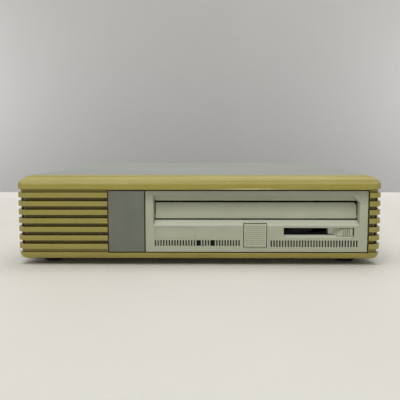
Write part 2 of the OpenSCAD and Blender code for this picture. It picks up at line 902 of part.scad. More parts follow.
module button_spring() {
    color("silver") translate([button_x, button_y1, stem_z]) rotate([-90, 0, 0])
        polyhedron(points = [for (i = [0:spring_rings]) for (j = [0:spring_sides - 1])
            spring_point(i, j)], faces = concat(
            [[for (j = [0:spring_sides - 1]) j]],
            [[for (j = [spring_sides - 1:-1:0]) spring_rings*spring_sides + j]],
            [for (i = [0:spring_rings - 1]) for (j = [0:spring_sides - 1]) for (k = [0, 1])
                spring_face(i*spring_sides, j, (j + 1) % spring_sides, k)]));
}

spring_sides = 6;
spring_rings = 10*spring_turns;

// Point j of ring i on the coil
function spring_point(i, j) =
    let (a = 360*spring_turns*i/spring_rings, b = 360*j/spring_sides,
        r = spring_radius + spring_wire*cos(b))
    [r*cos(a), r*sin(a), spring_wire + spring_wire*sin(b)
        + (spring_length - 2*spring_wire)*i/spring_rings];

// Triangle k of the patch between two rings
function spring_face(i, j, j2, k) = k == 0 ? [i + j, i + spring_sides + j, i + j2]
    : [i + j2, i + spring_sides + j, i + spring_sides + j2];

module lever() {
    color("whitesmoke") difference() {
        union() {
            along_x(lever_x0, lever_x1) polygon([
                [bezel_y + lever_face, slot_z0 - sill_height + 2*moving_gap],
                [bezel_y + sill_depth + moving_gap, slot_z0 + moving_gap],
                [bezel_back, slot_z0 + moving_gap], [bezel_back, slot_z1 - moving_gap],
                [bezel_y + lever_face, slot_z1 - moving_gap]]);
            box([lever_x1 - neck_inset - neck_width, bezel_back - over, slot_z0 + moving_gap],
                [lever_x1 - neck_inset, slide_y0, slot_z1 - moving_gap]);
        }
        translate([lever_x0 + lever_scoop_offset, bezel_y + lever_face + lever_scoop_depth
            - lever_scoop_radius, (slot_z0 + slot_z1)/2]) rotate([0, lever_scoop_angle, 0])
            cylinder(h = 4*lever_slot_height, r = lever_scoop_radius, center = true);
        box([lever_x0 - over, bezel_y - over, slot_z0 - 2*sill_height],
            [lever_x0 + lever_tip, bezel_y + lever_face + lever_scoop_depth*0.8,
            slot_z1 + over]);
        for (i = [0:lever_grip_count - 1])
            translate([lever_x1 - lever_grip_start - i*lever_grip_pitch, bezel_y + lever_face,
                (slot_z0 + slot_z1)/2])
                cube([lever_grip_width, lever_grip_width*2, 2*lever_slot_height], center = true);
    }
}

// Cam slot: low at its left end, high at its right end
module cam_slot(x) {
    c = follower_radius + follower_gap;
    translate([x, follower_z]) polygon([[-c, -c], [c, -c], [lever_travel + c, motor_rise - c],
        [lever_travel + c, motor_rise + c], [lever_travel - c, motor_rise + c], [-c, c]]);
}

module lever_slide() {
    color("silver") along_y(slide_y0, slide_y1) difference() {
        translate([slide_x0, slide_z0]) square([slide_x1 - slide_x0, slide_z1 - slide_z0]);
        for (x = follower_xs) cam_slot(x);
    }
}

module indicator_lenses() {
    color("darkgreen") for (i = [0, 2]) {
        x = (vent_x(lamp_slots[i]) + vent_x(lamp_slots[i + 1]))/2;
        box([x - lamp_window/2, bezel_y + label_depth, bezel_z0 + vent_lift],
            [x + lamp_window/2, bezel_back, bezel_z0 + vent_lift + vent_height]);
    }
}

module front_lamps() {
    color("lightgreen") for (i = [0, 2])
        rod_y((vent_x(lamp_slots[i]) + vent_x(lamp_slots[i + 1]))/2,
            bezel_z0 + vent_lift + vent_height/2, bezel_back, lamp_board_y0, lamp_radius);
}

module lamp_board() {
    color("seagreen") box([lamp_board_x0, lamp_board_y0, lamp_board_z0],
        [lamp_board_x1, lamp_board_y1, lamp_board_z1]);
    color("dimgray") box([button_x - switch_side/2, switch_y0, stem_z - switch_side/2],
        [button_x + switch_side/2, lamp_board_y0, stem_z + switch_side/2]);
}

module drive_casting() {
    color("silver") difference() {
        union() {
            for (x = [drive_x0, cast_x1])
                box([x, bezel_back, drive_z0], [x + cast_wall, drive_y1, drive_z1]);
            box([cast_x0 - over, deck_front, deck_z0], [cast_x1 + over, drive_y1, deck_z1]);
            box([cast_x0 - over, drive_y1 - cast_wall, rear_wall_z0],
                [cast_x1 + over, drive_y1, drive_z1]);
            box([cast_x0 - over, lamp_board_y1, drive_z0],
                [cast_x1 + over, lamp_board_y1 + tie_depth, drive_z0 + tie_height]);
            for (x = [cast_x0 - over, cast_x1 - board_ledge])
                box([x, drive_board_y0, drive_board_z1],
                    [x + board_ledge + over, drive_board_y1,
                    drive_board_z1 + board_ledge_height]);
            for (x = guide_pin_xs) translate([x, guide_pin_y, drive_board_z1 + over/2])
                cylinder(h = deck_z0 - drive_board_z1, r = guide_pin_radius);
            translate([arm_x, arm_y, deck_z0]) {
                cylinder(h = deck_thickness + arm_boss, r = bearing_radius);
                cylinder(h = deck_thickness + arm_boss + arm_hub_height + slide_gap,
                    r = arm_shaft_radius);
            }
        }
        translate([drive_x, spindle_y, deck_z0 - over])
            cylinder(h = deck_thickness + 2*over, r = hub_hole_radius);
        for (x = [drive_x0 - over, cast_x1 - over]) for (y = side_hole_ys)
            rod_x(y, drive_z0 + screw_lift, x, x + cast_wall + 2*over, screw_radius);
    }
}

front_hole_share = 0.206;
rear_hole_share = 0.619;
side_hole_ys = [bezel_back + drive_length*front_hole_share,
    bezel_back + drive_length*rear_hole_share];

module cartridge_guides() {
    color("dimgray") for (s = [-1, 1]) {
        x_wall = s > 0 ? cast_x1 : cast_x0;
        along_y(bezel_back + slide_gap, bay_y1) polygon([
            [x_wall, deck_z1], [x_wall - s*guide_width, deck_z1],
            [x_wall - s*guide_width, deck_z1 + guide_ledge - over/4],
            [x_wall - s*(guide_width - over/4), deck_z1 + guide_ledge],
            [x_wall - s*guide_wall, deck_z1 + guide_ledge], [x_wall - s*guide_wall, guide_top],
            [x_wall - s*guide_width, guide_top], [x_wall - s*guide_width, guide_top + guide_ledge],
            [x_wall, guide_top + guide_ledge]]);
    }
}

module drive_top_plate() {
    color("gainsboro") difference() {
        union() {
            box([drive_x0, bezel_back, drive_z1],
                [drive_x1, drive_y1, drive_z1 + top_plate_thickness]);
            translate([drive_x, spindle_y, drive_z1 - top_plate_dish])
                cylinder(h = top_plate_thickness + top_plate_dish, r = dish_radius);
        }
        translate([drive_x, spindle_y, drive_z1 + top_plate_thickness - top_plate_dish])
            cylinder(h = top_plate_thickness + over, r = dish_radius - top_plate_thickness);
    }
}

module motor_plate() {
    color("silver") difference() {
        union() {
            box([drive_x - plate_width/2, plate_y0, plate_z0],
                [drive_x + plate_width/2, plate_y1, plate_z0 + plate_thickness]);
            for (x = follower_xs) {
                box([x - tab_width/2, plate_y0, plate_z0],
                    [x + tab_width/2, plate_y0 + tab_thickness,
                    follower_z + 2*follower_radius]);
                rod_y(x, follower_z, slide_y0 + pin_flat, plate_y0 + over, follower_radius);
            }
        }
        for (x = guide_pin_xs) translate([x, guide_pin_y, plate_z0 - over])
            cylinder(h = plate_thickness + 2*over, r = guide_pin_radius + fit);
    }
}

module spindle_motor() {
    color("darkgray") translate([drive_x, spindle_y, motor_z0]) difference() {
        union() {
            cylinder(h = motor_base, r = motor_radius);
            cylinder(h = motor_base + bearing_height, r = bearing_radius);
            for (i = [0:coil_count - 1]) rotate(i*360/coil_count)
                translate([coil_inner, -coil_width/2, motor_base - over/2])
                    cube([coil_length, coil_width, coil_height + over/2]);
        }
        translate([0, 0, motor_base/2])
            cylinder(h = motor_base + bearing_height, r = spindle_radius + fit);
    }
}

module spindle_hub() {
    color("lightsteelblue") translate([drive_x, spindle_y, 0]) {
        translate([0, 0, motor_z0 + motor_base/2 + moving_gap])
            cylinder(h = rotor_z1 - motor_z0 - motor_base/2, r = spindle_radius);
        translate([0, 0, rotor_z1]) {
            cylinder(h = rotor_cup, r = hub_radius + hub_cone);
            cylinder(h = hub_height, r = hub_radius);
            translate([0, 0, hub_height])
                cylinder(h = hub_cone, r1 = hub_radius, r2 = hub_radius - hub_cone);
        }
        translate([0, 0, rotor_z0]) difference() {
            cylinder(h = rotor_z1 - rotor_z0 + rotor_cup, r = hub_radius + 3*hub_cone);
            translate([0, 0, -over])
                cylinder(h = rotor_z1 - rotor_z0 + over, r = hub_radius + 2*hub_cone);
        }
    }
}

module head_arm() {
    color("silver") translate([arm_x, arm_y, arm_z0]) rotate(180 + arm_rest_angle) difference() {
        union() {
            cylinder(h = arm_hub_height - 2*slide_gap, r = arm_hub_radius);
            for (z = [arm_hub_height*0.2, arm_hub_height*0.7]) translate([0, 0, z]) {
                linear_extrude(arm_plate) difference() {
                    polygon([[0, -arm_root/2], [arm_length, -arm_tip/2],
                        [arm_length, arm_tip/2], [0, arm_root/2]]);
                    polygon([[arm_hub_radius*1.4, -arm_root/5], [arm_length*0.6, -arm_tip/4],
                        [arm_length*0.6, arm_tip/4], [arm_hub_radius*1.4, arm_root/5]]);
                }
                translate([arm_length - head_size, -head_size/2, -arm_plate/2])
                    cube([head_size, head_size, 2*arm_plate]);
            }
            translate([0, 0, arm_hub_height*0.4]) linear_extrude(yoke_gap/2) difference() {
                polygon([[0, -arm_root/2], [-coil_tail, -arm_root*0.8],
                    [-coil_tail - arm_tip, 0], [-coil_tail, arm_root*0.8], [0, arm_root/2]]);
                polygon([[-arm_hub_radius - coil_ring/2, -arm_root/4],
                    [-coil_tail + coil_ring/2, -arm_root*0.8 + coil_ring],
                    [-coil_tail + coil_ring/2, arm_root*0.8 - coil_ring],
                    [-arm_hub_radius - coil_ring/2, arm_root/4]]);
            }
        }
        translate([0, 0, -over]) cylinder(h = arm_hub_height + 2*over,
            r = arm_shaft_radius + fit);
    }
}

module magnet_yoke() {
    color("gray") translate([arm_x, arm_y, 0]) {
        for (z = [arm_z0 + arm_hub_height*0.4 - yoke_gap/2 - yoke_plate/2,
            arm_z0 + arm_hub_height*0.4 + yoke_gap])
            translate([0, 0, z]) yoke_sector(yoke_plate);
        for (a = [-arm_swing_angle/2 - arm_rest_angle, arm_swing_angle*1.7]) rotate(a)
            translate([yoke_outer - yoke_post, 0, deck_z1])
            cylinder(h = arm_z0 + arm_hub_height*0.4 + yoke_gap + over - deck_z1,
                r = yoke_post/2);
    }
}

module yoke_sector(t) {
    rotate(-arm_swing_angle/2 - 2*arm_rest_angle)
        rotate_extrude(angle = arm_swing_angle*2.2 + 3*arm_rest_angle)
        translate([yoke_inner, 0]) square([yoke_outer - yoke_inner, t]);
}

module drive_board() {
    color("seagreen") difference() {
        box([cast_x0 + board_side_gap, drive_board_y0, drive_board_z0],
            [cast_x1 - board_side_gap, drive_board_y1, drive_board_z1]);
        for (x = guide_pin_xs) translate([x, guide_pin_y, drive_board_z0 - over])
            cylinder(h = board_thickness + 2*over, r = guide_pin_radius + over);
    }
}

// Sizes and places of the three kinds of parts on the drive board
chip = [24, 14, 2.6];
chip_inset = 20;
chip_pitch = 38;
chip_row = 26;
chip_lead = 8;
package = [10, 18, 2];
package_start = 12;
package_pitch = 24;
block = [11, 11, 3];
block_inset = 8.5;
block_start = 10;
block_pitch = 30;

module board_parts() {
    color("dimgray") {
        for (i = [0:2]) for (j = [0:1]) translate([cast_x0 + chip_inset + i*chip_pitch,
            bay_y1 - chip_lead + j*chip_row, drive_board_z1]) cube(chip);
        for (j = [0:3]) translate([cast_x1 - chip_inset, drive_board_y0 + package_start
            + j*package_pitch, drive_board_z1]) cube(package);
        for (j = [0:2]) translate([cast_x0 + block_inset, drive_board_y0 + block_start
            + j*block_pitch, drive_board_z1]) cube(block);
    }
}

header_margin = 3;
header_height = 9;
header_depth = 9;
header_proud = 4;
plug_inset = 10;
plug_width = 21;
plug_proud = 6;
header_x0 = port_x - ribbon_width/2 - header_margin;
header_x1 = port_x + ribbon_width/2 + header_margin;
header_z1 = drive_board_z1 + header_height;
plug_x0 = cast_x0 + plug_inset;
plug_x1 = plug_x0 + plug_width;

module board_connectors() {
    color("black") {
        box([header_x0, drive_board_y1 - header_depth, drive_board_z1],
            [header_x1, drive_y1 + header_proud, header_z1]);
        box([plug_x0, drive_board_y1 - header_depth, drive_board_z1],
            [plug_x1, drive_y1 + plug_proud, header_z1]);
    }
}

bracket_upright = 20;
bracket_foot = 8;
bracket_half = 10;

module drive_brackets() {
    color("gainsboro") for (s = [-1, 1]) {
        x = s > 0 ? drive_x1 : drive_x0;
        for (y = side_hole_ys) difference() {
            along_y(y - bracket_half, y + bracket_half) polygon([
                [x + s*sheet, pan_top], [x - s*bracket_foot, pan_top],
                [x - s*bracket_foot, pan_top + sheet], [x, pan_top + sheet],
                [x, pan_top + bracket_upright], [x + s*sheet, pan_top + bracket_upright]]);
            rod_x(y, drive_z0 + screw_lift, x - 3*sheet, x + 3*sheet, screw_radius);
        }
    }
}

module supply_board() {
    color("olivedrab") box([supply_x0, supply_y0, supply_z0],
        [supply_x0 + supply_width, supply_y1, supply_z1]);
}

// Place on the supply board, in shares of its width and length
module on_supply(x_share, y_share) {
    translate([supply_x0 + supply_width*x_share, supply_y0 + supply_length*y_share, supply_z1])
        children();
}

module supply_transformer() {
    w = supply_width*transformer_width_share;
    l = supply_length*transformer_length_share;
    m = l*winding_share;
    color("goldenrod") on_supply(transformer_x_share, transformer_y_share) {
        translate([0, m, 0]) cube([w, l - 2*m, transformer_height]);
        translate([m, 0, m]) cube([w - 2*m, l, transformer_height - 2*m]);
    }
}

module supply_capacitors() {
    color("midnightblue") {
        for (s = [-1, 1]) on_supply(0.5, capacitor_y_share)
            translate([s*capacitor_radius*capacitor_space_share, 0, 0])
            cylinder(h = capacitor_height, r = capacitor_radius);
        for (i = [0:3]) on_supply(small_capacitor_x_share + i*small_capacitor_pitch_share,
            small_capacitor_y_share) cylinder(h = small_capacitor_height,
            r = supply_width*small_capacitor_share);
    }
}

module supply_heatsinks() {
    color("silver") for (s = [0, 1]) on_supply(s ? 1 - heatsink_x_share : heatsink_x_share,
        heatsink_y_share) {
            translate([s ? -heatsink_wall : 0, 0, 0])
                cube([heatsink_wall, heatsink_length, heatsink_height]);
            for (i = [0:heatsink_fins - 1]) translate([s ? -heatsink_fin : 0,
                i*(heatsink_length - heatsink_wall)/(heatsink_fins - 1), heatsink_height/4])
                cube([heatsink_fin, heatsink_wall, heatsink_height*3/4]);
        }
}

module supply_choke() {
    color("darkorange") on_supply(0.5, choke_y_share) translate([0, 0, choke_wire])
        rotate_extrude() translate([choke_radius - choke_wire/2, 0]) circle(choke_wire);
}

module supply_fuse() {
    clip = fuse_length*fuse_clip_share;
    color("lightcyan") on_supply(1 - fuse_share - heatsink_x_share, fuse_y_share) {
        rod_x(0, fuse_radius + fuse_radius/2, 0, fuse_length, fuse_radius);
        for (x = [0, fuse_length - clip]) translate([x, -fuse_radius, 0])
            cube([clip, 2*fuse_radius, fuse_radius]);
    }
}

module supply_connectors() {
    color("white") {
        box([dc_x - connector_width/2, dc_y - connector_length/2, supply_z1],
            [dc_x + connector_width/2, dc_y + connector_length/2, dc_z]);
        box([ac_x - connector_width/2, ac_y - connector_length/2, supply_z1],
            [ac_x + connector_width/2, ac_y + connector_length/2, dc_z]);
    }
}

// Round wire through a row of points, with ball corners
module wire(points, r) {
    for (i = [0:len(points) - 2]) {
        d = points[i + 1] - points[i];
        translate(points[i]) rotate([0, acos(d[2]/norm(d)), atan2(d[1], d[0])])
            cylinder(h = norm(d), r = r);
        if (i > 0) translate(points[i]) sphere(r);
    }
}

connector_edge = supply_width*connector_edge_share + connector_width/2;
dc_x = supply_x0 + supply_width - connector_edge;
dc_y = supply_y0 + connector_inset + connector_length/2;
dc_z = supply_z1 + connector_height;
plug_z = (drive_board_z1 + header_z1)/2;
ac_x = supply_x0 + connector_edge;
ac_y = supply_y1 - connector_inset - connector_length/2;

module power_wires() {
    y1 = drive_y1 + wire_rear;
    yi = panel_y0 - inlet_depth - inlet_wire_gap;
    color("firebrick") {
        for (i = [0:3]) {
            y = dc_y + (i - 1.5)*wire_pitch;
            z = dc_z + wire_lift + i*wire_step;
            x = plug_x0 + (i + 0.5)*wire_pitch;
            wire([[dc_x, y, dc_z], [dc_x, y, z], [dc_x + wire_run, y, z],
                [dc_x + wire_run, y1, z], [x, y1, z], [x, y1, plug_z],
                [x, drive_y1 + plug_proud, plug_z]], wire_radius);
        }
        for (s = [-1, 1]) {
            y = ac_y + s*wire_spread;
            z = inlet_z - inlet_pin_step/2 + s*earth_step;
            x = inlet_x + s*inlet_pin_pitch/2;
            wire([[ac_x, y, dc_z], [ac_x, y, z], [ac_x, yi, z], [x, yi, z],
                [x, inlet_y1 - inlet_depth - inlet_floor - tab_size[2], z]], wire_radius);
        }
    }
}

// Inlet outline with its two upper corners cut off
module inlet_outline(grow) {
    translate([inlet_x, inlet_z]) cut_corners(-inlet_width/2 - grow, inlet_width/2 + grow,
        -inlet_height/2 - grow, inlet_height/2 + grow, inlet_corner, true);
}

inlet_y1 = panel_y1 + inlet_flange_thickness;

module power_inlet() {
    color("black") difference() {
        union() {
            along_y(panel_y1, inlet_y1) translate([inlet_x, inlet_z])
                square(inlet_flange, center = true);
            along_y(inlet_y1 - inlet_depth - inlet_floor, inlet_y1) inlet_outline(inlet_wall);
        }
        along_y(inlet_y1 - inlet_depth, inlet_y1 + over) inlet_outline(0);
        for (s = [-1, 0, 1]) rod_pin(s, inlet_y1 - inlet_depth - inlet_floor - over,
            inlet_y1 - inlet_depth + over);
        for (s = [-1, 1]) rod_y(inlet_x + s*inlet_screw_pitch/2, inlet_z, panel_y1 - over,
            inlet_y1 + over, screw_radius);
    }
}

// Flat blade of the inlet: the earth blade stands above the other two
module rod_pin(s, y0, y1) {
    z = inlet_z + (s == 0 ? inlet_pin_step/2 + earth_step : -inlet_pin_step/2);
    x = inlet_x + s*inlet_pin_pitch/2;
    box([x - inlet_pin[0]/2, y0, z - inlet_pin[1]/2], [x + inlet_pin[0]/2, y1,
        z + inlet_pin[1]/2]);
}

module inlet_pins() {
    color("silver") for (s = [-1, 0, 1])
        rod_pin(s, inlet_y1 - inlet_depth - inlet_floor - tab_size[2],
            inlet_y1 - pin_end_gap);
}

module switch_body() {
    color("black") difference() {
        union() {
            along_y(panel_y1, panel_y1 + switch_flange) translate([rocker_x, rocker_z])
                square([switch_width + 2*over, switch_height + 2*over], center = true);
            along_y(panel_y1 - switch_depth, panel_y1 + switch_flange)
                translate([rocker_x, rocker_z]) square([switch_width, switch_height],
                center = true);
        }
        along_y(panel_y1 - switch_depth + 2*switch_wall, panel_y1 + switch_flange + over)
            translate([rocker_x, rocker_z]) square([switch_width - 2*switch_wall,
                switch_height - 2*switch_wall], center = true);
        rod_x(rocker_y, rocker_z, rocker_x - switch_width/2 - over,
            rocker_x + switch_width/2 + over, rocker_pin + fit);
    }
    color("silver") for (z = [-1, 1]) translate([rocker_x, panel_y1 - switch_depth
        - tab_size[2]/2, rocker_z + z*switch_height/4])
        cube([tab_size[1], tab_size[2], tab_size[0]], center = true);
}

rocker_y = panel_y1 - over;

module switch_rocker() {
    r = (switch_height/2 - switch_wall - moving_gap);
    color("black") {
        intersection() {
            translate([rocker_x, rocker_y, rocker_z]) rotate([-rocker_swing_angle, 0, 0])
                along_x(-switch_width/2 + switch_wall + moving_gap,
                    switch_width/2 - switch_wall - moving_gap)
                polygon([[-rocker_depth, -r*0.5], [0, -r*0.93], [rocker_depth, -r*0.93],
                    [rocker_depth*0.6, 0], [rocker_depth, r*0.93], [0, r*0.93],
                    [-rocker_depth, r*0.5]]);
            rod_x(rocker_y, rocker_z, rocker_x - switch_width, rocker_x + switch_width,
                r);
        }
        rod_x(rocker_y, rocker_z, rocker_x - switch_width/2 + moving_gap,
            rocker_x + switch_width/2 - moving_gap, rocker_pin);
    }
}

module fan_frame() {
    color("black") difference() {
        union() {
            difference() {
                along_y(fan_y0, panel_y0) translate([fan_x, fan_z])
                    square(fan_side, center = true);
                rod_y(fan_x, fan_z, fan_y0 - over, panel_y0 + over, fan_bore);
            }
            rod_y(fan_x, fan_z, fan_y0, fan_y0 + fan_back, fan_hub);
            for (a = [0:3]) translate([fan_x, fan_y0, fan_z]) rotate([0, 45 + a*90, 0])
                translate([0, 0, -fan_strut/2]) cube([fan_bore + over, fan_back, fan_strut]);
            rod_y(fan_x, fan_z, fan_y0, fan_y0 + fan_depth/2, 2*fan_shaft);
        }
        rod_y(fan_x, fan_z, fan_y0 + fan_back/2, panel_y0, fan_shaft + fit);
        for (sx = [-1, 1]) for (sz = [-1, 1])
            rod_y(fan_x + sx*fan_hole_pitch/2, fan_z + sz*fan_hole_pitch/2, fan_y0 - over,
                panel_y0 + over, screw_radius);
    }
}

module fan_rotor() {
    blade_y0 = fan_y0 + fan_back + moving_gap;
    blade_y1 = panel_y0 - moving_gap;
    color("dimgray") intersection() {
        rod_y(fan_x, fan_z, fan_y0 + fan_back/2 + moving_gap, blade_y1, fan_bore - 2*moving_gap);
        union() {
            difference() {
                rod_y(fan_x, fan_z, blade_y0, blade_y1, fan_hub);
                rod_y(fan_x, fan_z, blade_y0 - over, fan_y0 + fan_depth/2 + moving_gap,
                    2*fan_shaft + 2*moving_gap);
            }
            rod_y(fan_x, fan_z, fan_y0 + fan_back/2 + moving_gap, blade_y1, fan_shaft);
            intersection() {
                rod_y(fan_x, fan_z, blade_y0, blade_y1, fan_bore);
                union() for (i = [0:fan_blades - 1])
                    translate([fan_x, (blade_y0 + blade_y1)/2, fan_z])
                    rotate([0, i*360/fan_blades, 0]) rotate([fan_blade_angle, 0, 0])
                    translate([fan_hub - over, -fan_depth, -fan_blade/2])
                    cube([fan_bore, 2*fan_depth, fan_blade]);
            }
        }
    }
}

module fan_guard() {
    y = panel_y1 + guard_spoke;
    color("silver") {
        for (i = [1:guard_rings]) translate([fan_x, y, fan_z]) rotate([90, 0, 0])
            rotate_extrude() translate([i*fan_bore/guard_rings, 0])
            circle(guard_wire, $fn = 24);
        for (a = [45, 135]) translate([fan_x, y, fan_z]) rotate([0, a, 0])
            translate([-fan_hole_pitch*0.62, 0, 0]) rotate([0, 90, 0])
            cylinder(h = fan_hole_pitch*1.24, r = guard_spoke);
        for (sx = [-1, 1]) for (sz = [-1, 1]) difference() {
            rod_y(fan_x + sx*fan_hole_pitch/2, fan_z + sz*fan_hole_pitch/2, panel_y1,
                panel_y1 + 2*guard_wire, screw_radius + 2*guard_wire);
            rod_y(fan_x + sx*fan_hole_pitch/2, fan_z + sz*fan_hole_pitch/2, panel_y1 - over,
                panel_y1 + 3*guard_wire, screw_radius);
        }
    }
}

module id_switch() {
    color("black") difference() {
        box([id_x - id_body/2, panel_y0 - id_depth, id_z - id_body/2],
            [id_x + id_body/2, panel_y0, id_z + id_body/2]);
        rod_y(id_x, id_z, panel_y0 - id_depth/2, panel_y0 + over, id_radius + fit);
    }
}

module id_dial() {
    color("white") difference() {
        rod_y(id_x, id_z, panel_y0 - id_depth/2 + moving_gap, panel_y1 + id_proud, id_radius);
        translate([id_x, panel_y1 + id_proud, id_z])
            cube([id_radius*1.6, 2*id_slot, id_slot], center = true);
        translate([id_x + id_radius*0.8, panel_y1 + id_proud, id_z])
            cube([id_radius*0.8, 2*id_slot, id_slot*2], center = true);
    }
}

// Port outline with slanted ends, wide side up
module port_outline(grow) {
    w = port_slot_length/2 + port_margin + grow;
    h = port_slot_height/2 + port_rim + grow;
    polygon([[-w + port_slope, -h], [w - port_slope, -h], [w, h], [-w, h]]);
}

module port_shells() {
    color("silver") for (z = port_zs) {
        along_y(panel_y1, panel_y1 + port_flange_thickness) difference() {
            translate([port_x, z]) square(port_flange, center = true);
            translate([port_x, z]) port_outline(0);
        }
        along_y(panel_y1, panel_y1 + port_length) translate([port_x, z]) difference() {
            port_outline(port_shell_wall);
            port_outline(0);
        }
        for (s = [-1, 1]) for (t = [-1, 1]) difference() {
            translate([port_x + s*bail_pivot, panel_y1 + ear_size/2 + bail_radius/2,
                z + t*(bail_half - bail_radius - moving_gap - ear_wall/2)])
                cube([2*ear_size, ear_size + bail_radius, ear_wall], center = true);
            translate([port_x + s*bail_pivot, bail_y, z - bail_half])
                cylinder(h = 2*bail_half, r = bail_radius + fit);
        }
    }
}

bail_y = panel_y1 + port_flange_thickness + bail_radius + moving_gap;

module port_bodies() {
    color("white") for (z = port_zs) difference() {
        union() {
            along_y(panel_y0, panel_y1 + port_length - over) translate([port_x, z])
                port_outline(0);
            box([port_x - port_slot_length/2 - 2*port_margin, panel_y0 - port_body_depth,
                z - port_slot_height/2 - port_rim], [port_x + port_slot_length/2
                + 2*port_margin, panel_y0, z + port_slot_height/2 + port_rim]);
        }
        box([port_x - port_slot_length/2, panel_y1 + port_length - port_slot_depth,
            z - port_slot_height/2], [port_x + port_slot_length/2, panel_y1 + port_length,
            z + port_slot_height/2]);
    }
}

module port_contacts() {
    pitch = port_slot_length*contact_span_share/port_contacts_per_side;
    color("gold") for (z = port_zs) for (s = [-1, 1])
        for (i = [0:port_contacts_per_side - 1])
            translate([port_x + (i - (port_contacts_per_side - 1)/2)*pitch,
                panel_y1 + port_length - port_slot_depth/2 - over,
                z + s*(port_slot_height/2 - contact_height/2)])
                cube([contact_width, port_slot_depth - 2*over, contact_height], center = true);
}

ribbon_plug = 5;
ribbon_plug_half = 3;
ribbon_lead = 8;

module port_ribbon() {
    x0 = port_x - ribbon_width/2;
    x1 = port_x + ribbon_width/2;
    y0 = drive_y1 + header_proud;
    y = panel_y0 - port_body_depth;
    z = header_z1 - header_proud;
    ym = y - ribbon_lead;
    t = ribbon_thickness;
    color("lightgray") {
        box([x0 - over, y0, z - ribbon_plug_half],
            [x1 + over, y0 + ribbon_plug + over, z + ribbon_plug_half]);
        box([x0, y0 + ribbon_plug, z - t/2], [x1, ym + t, z + t/2]);
        box([x0, ym, z - t/2], [x1, ym + t, port_zs[1] + t/2]);
        for (pz = port_zs) {
            box([x0, ym, pz - t/2], [x1, y, pz + t/2]);
            box([x0 - over, y - ribbon_plug, pz - ribbon_plug_half],
                [x1 + over, y, pz + ribbon_plug_half]);
        }
    }
}

// Wire bail, folded outwards; s is the side of the port it stands on
module bail(s, z) {
    x = port_x + s*bail_pivot;
    color("silver") {
        for (t = [-1, 1]) {
            translate([x, bail_y, z + t*bail_half - (t > 0 ? 2*ear_wall : 0)])
                cylinder(h = 2*ear_wall, r = bail_radius);
            translate([x, bail_y, z + t*bail_half]) sphere(bail_radius);
            rod_x(bail_y, z + t*bail_half, s > 0 ? x : x - bail_reach,
                s > 0 ? x + bail_reach : x, bail_radius);
            translate([x + s*bail_reach, bail_y, z + t*bail_half]) sphere(bail_radius);
        }
        translate([x + s*bail_reach, bail_y, z - bail_half])
            cylinder(h = 2*bail_half, r = bail_radius);
    }
}

module bail_upper_left() {
    bail(-1, port_zs[1]);
}
module bail_upper_right() {
    bail(1, port_zs[1]);
}
module bail_lower_left() {
    bail(-1, port_zs[0]);
}
module bail_lower_right() {
    bail(1, port_zs[0]);
}

front_moulding();
badge_panel();
top_cover();
chassis_pan();
rear_panel();
rubber_feet();
case_screws();
drive_bezel();
cartridge_door();
stop_button();
button_spring();
lever();
lever_slide();
indicator_lenses();
lamp_board();
front_lamps();
drive_casting();
cartridge_guides();
drive_top_plate();
motor_plate();
spindle_motor();
spindle_hub();
head_arm();
magnet_yoke();
drive_board();
board_parts();
board_connectors();
drive_brackets();
supply_board();
supply_transformer();
supply_capacitors();
supply_heatsinks();
supply_choke();
supply_fuse();
supply_connectors();
power_wires();
power_inlet();
inlet_pins();
switch_body();
switch_rocker();
fan_frame();
fan_rotor();
fan_guard();
id_switch();
id_dial();
port_shells();
port_bodies();
port_contacts();
port_ribbon();
bail_upper_left();
bail_upper_right();
bail_lower_left();
bail_lower_right();
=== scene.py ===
"""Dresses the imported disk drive.

The frame brings every solid of the drive in its place. This script gives each piece its finish,
lays merged copies with softened edges over the pieces that need them, and sets up the studio.
"""

from __future__ import annotations

import json
import logging
import math
from abc import ABC, abstractmethod
from dataclasses import dataclass
from enum import Enum
from typing import Iterable

import bpy
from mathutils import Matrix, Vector

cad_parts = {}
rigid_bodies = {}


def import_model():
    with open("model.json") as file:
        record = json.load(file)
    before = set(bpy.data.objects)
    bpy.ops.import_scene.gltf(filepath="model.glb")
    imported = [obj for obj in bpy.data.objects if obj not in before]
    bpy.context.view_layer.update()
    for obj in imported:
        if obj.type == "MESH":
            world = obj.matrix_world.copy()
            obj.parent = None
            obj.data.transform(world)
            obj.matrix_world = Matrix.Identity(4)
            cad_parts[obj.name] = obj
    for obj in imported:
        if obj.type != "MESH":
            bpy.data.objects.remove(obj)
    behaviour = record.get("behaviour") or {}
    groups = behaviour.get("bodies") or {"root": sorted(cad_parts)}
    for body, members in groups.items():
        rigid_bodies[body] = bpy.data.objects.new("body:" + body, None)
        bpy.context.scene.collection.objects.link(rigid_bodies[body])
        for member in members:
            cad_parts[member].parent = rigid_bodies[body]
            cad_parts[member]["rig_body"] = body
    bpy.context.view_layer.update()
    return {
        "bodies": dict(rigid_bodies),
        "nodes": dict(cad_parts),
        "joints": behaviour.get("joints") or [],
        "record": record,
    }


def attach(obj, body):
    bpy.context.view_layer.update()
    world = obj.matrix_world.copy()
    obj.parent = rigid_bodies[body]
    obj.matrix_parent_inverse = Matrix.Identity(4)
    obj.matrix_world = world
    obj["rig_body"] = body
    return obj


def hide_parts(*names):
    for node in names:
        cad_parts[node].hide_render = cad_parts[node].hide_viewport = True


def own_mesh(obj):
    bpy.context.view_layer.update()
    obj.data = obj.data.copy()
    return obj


LOG = logging.getLogger("disk_drive")

Colour = tuple[float, float, float]
Point = tuple[float, float, float]
Span = tuple[float, float]

# Colour and gloss: the spans of the noises, and how the slow drift differs from the stains.
STAIN_SPAN: Span = (0.36, 0.66)
TONE_SPAN: Span = (0.3, 0.7)
DRIFT_SIZE = 0.3
DRIFT_SHARE = 0.6
DRIFT_STRETCH: Point = (1.0, 1.0, 0.35)
ROUGHNESS_SPAN: Span = (0.75, 1.25)
COAT_ROUGHNESS = 0.12

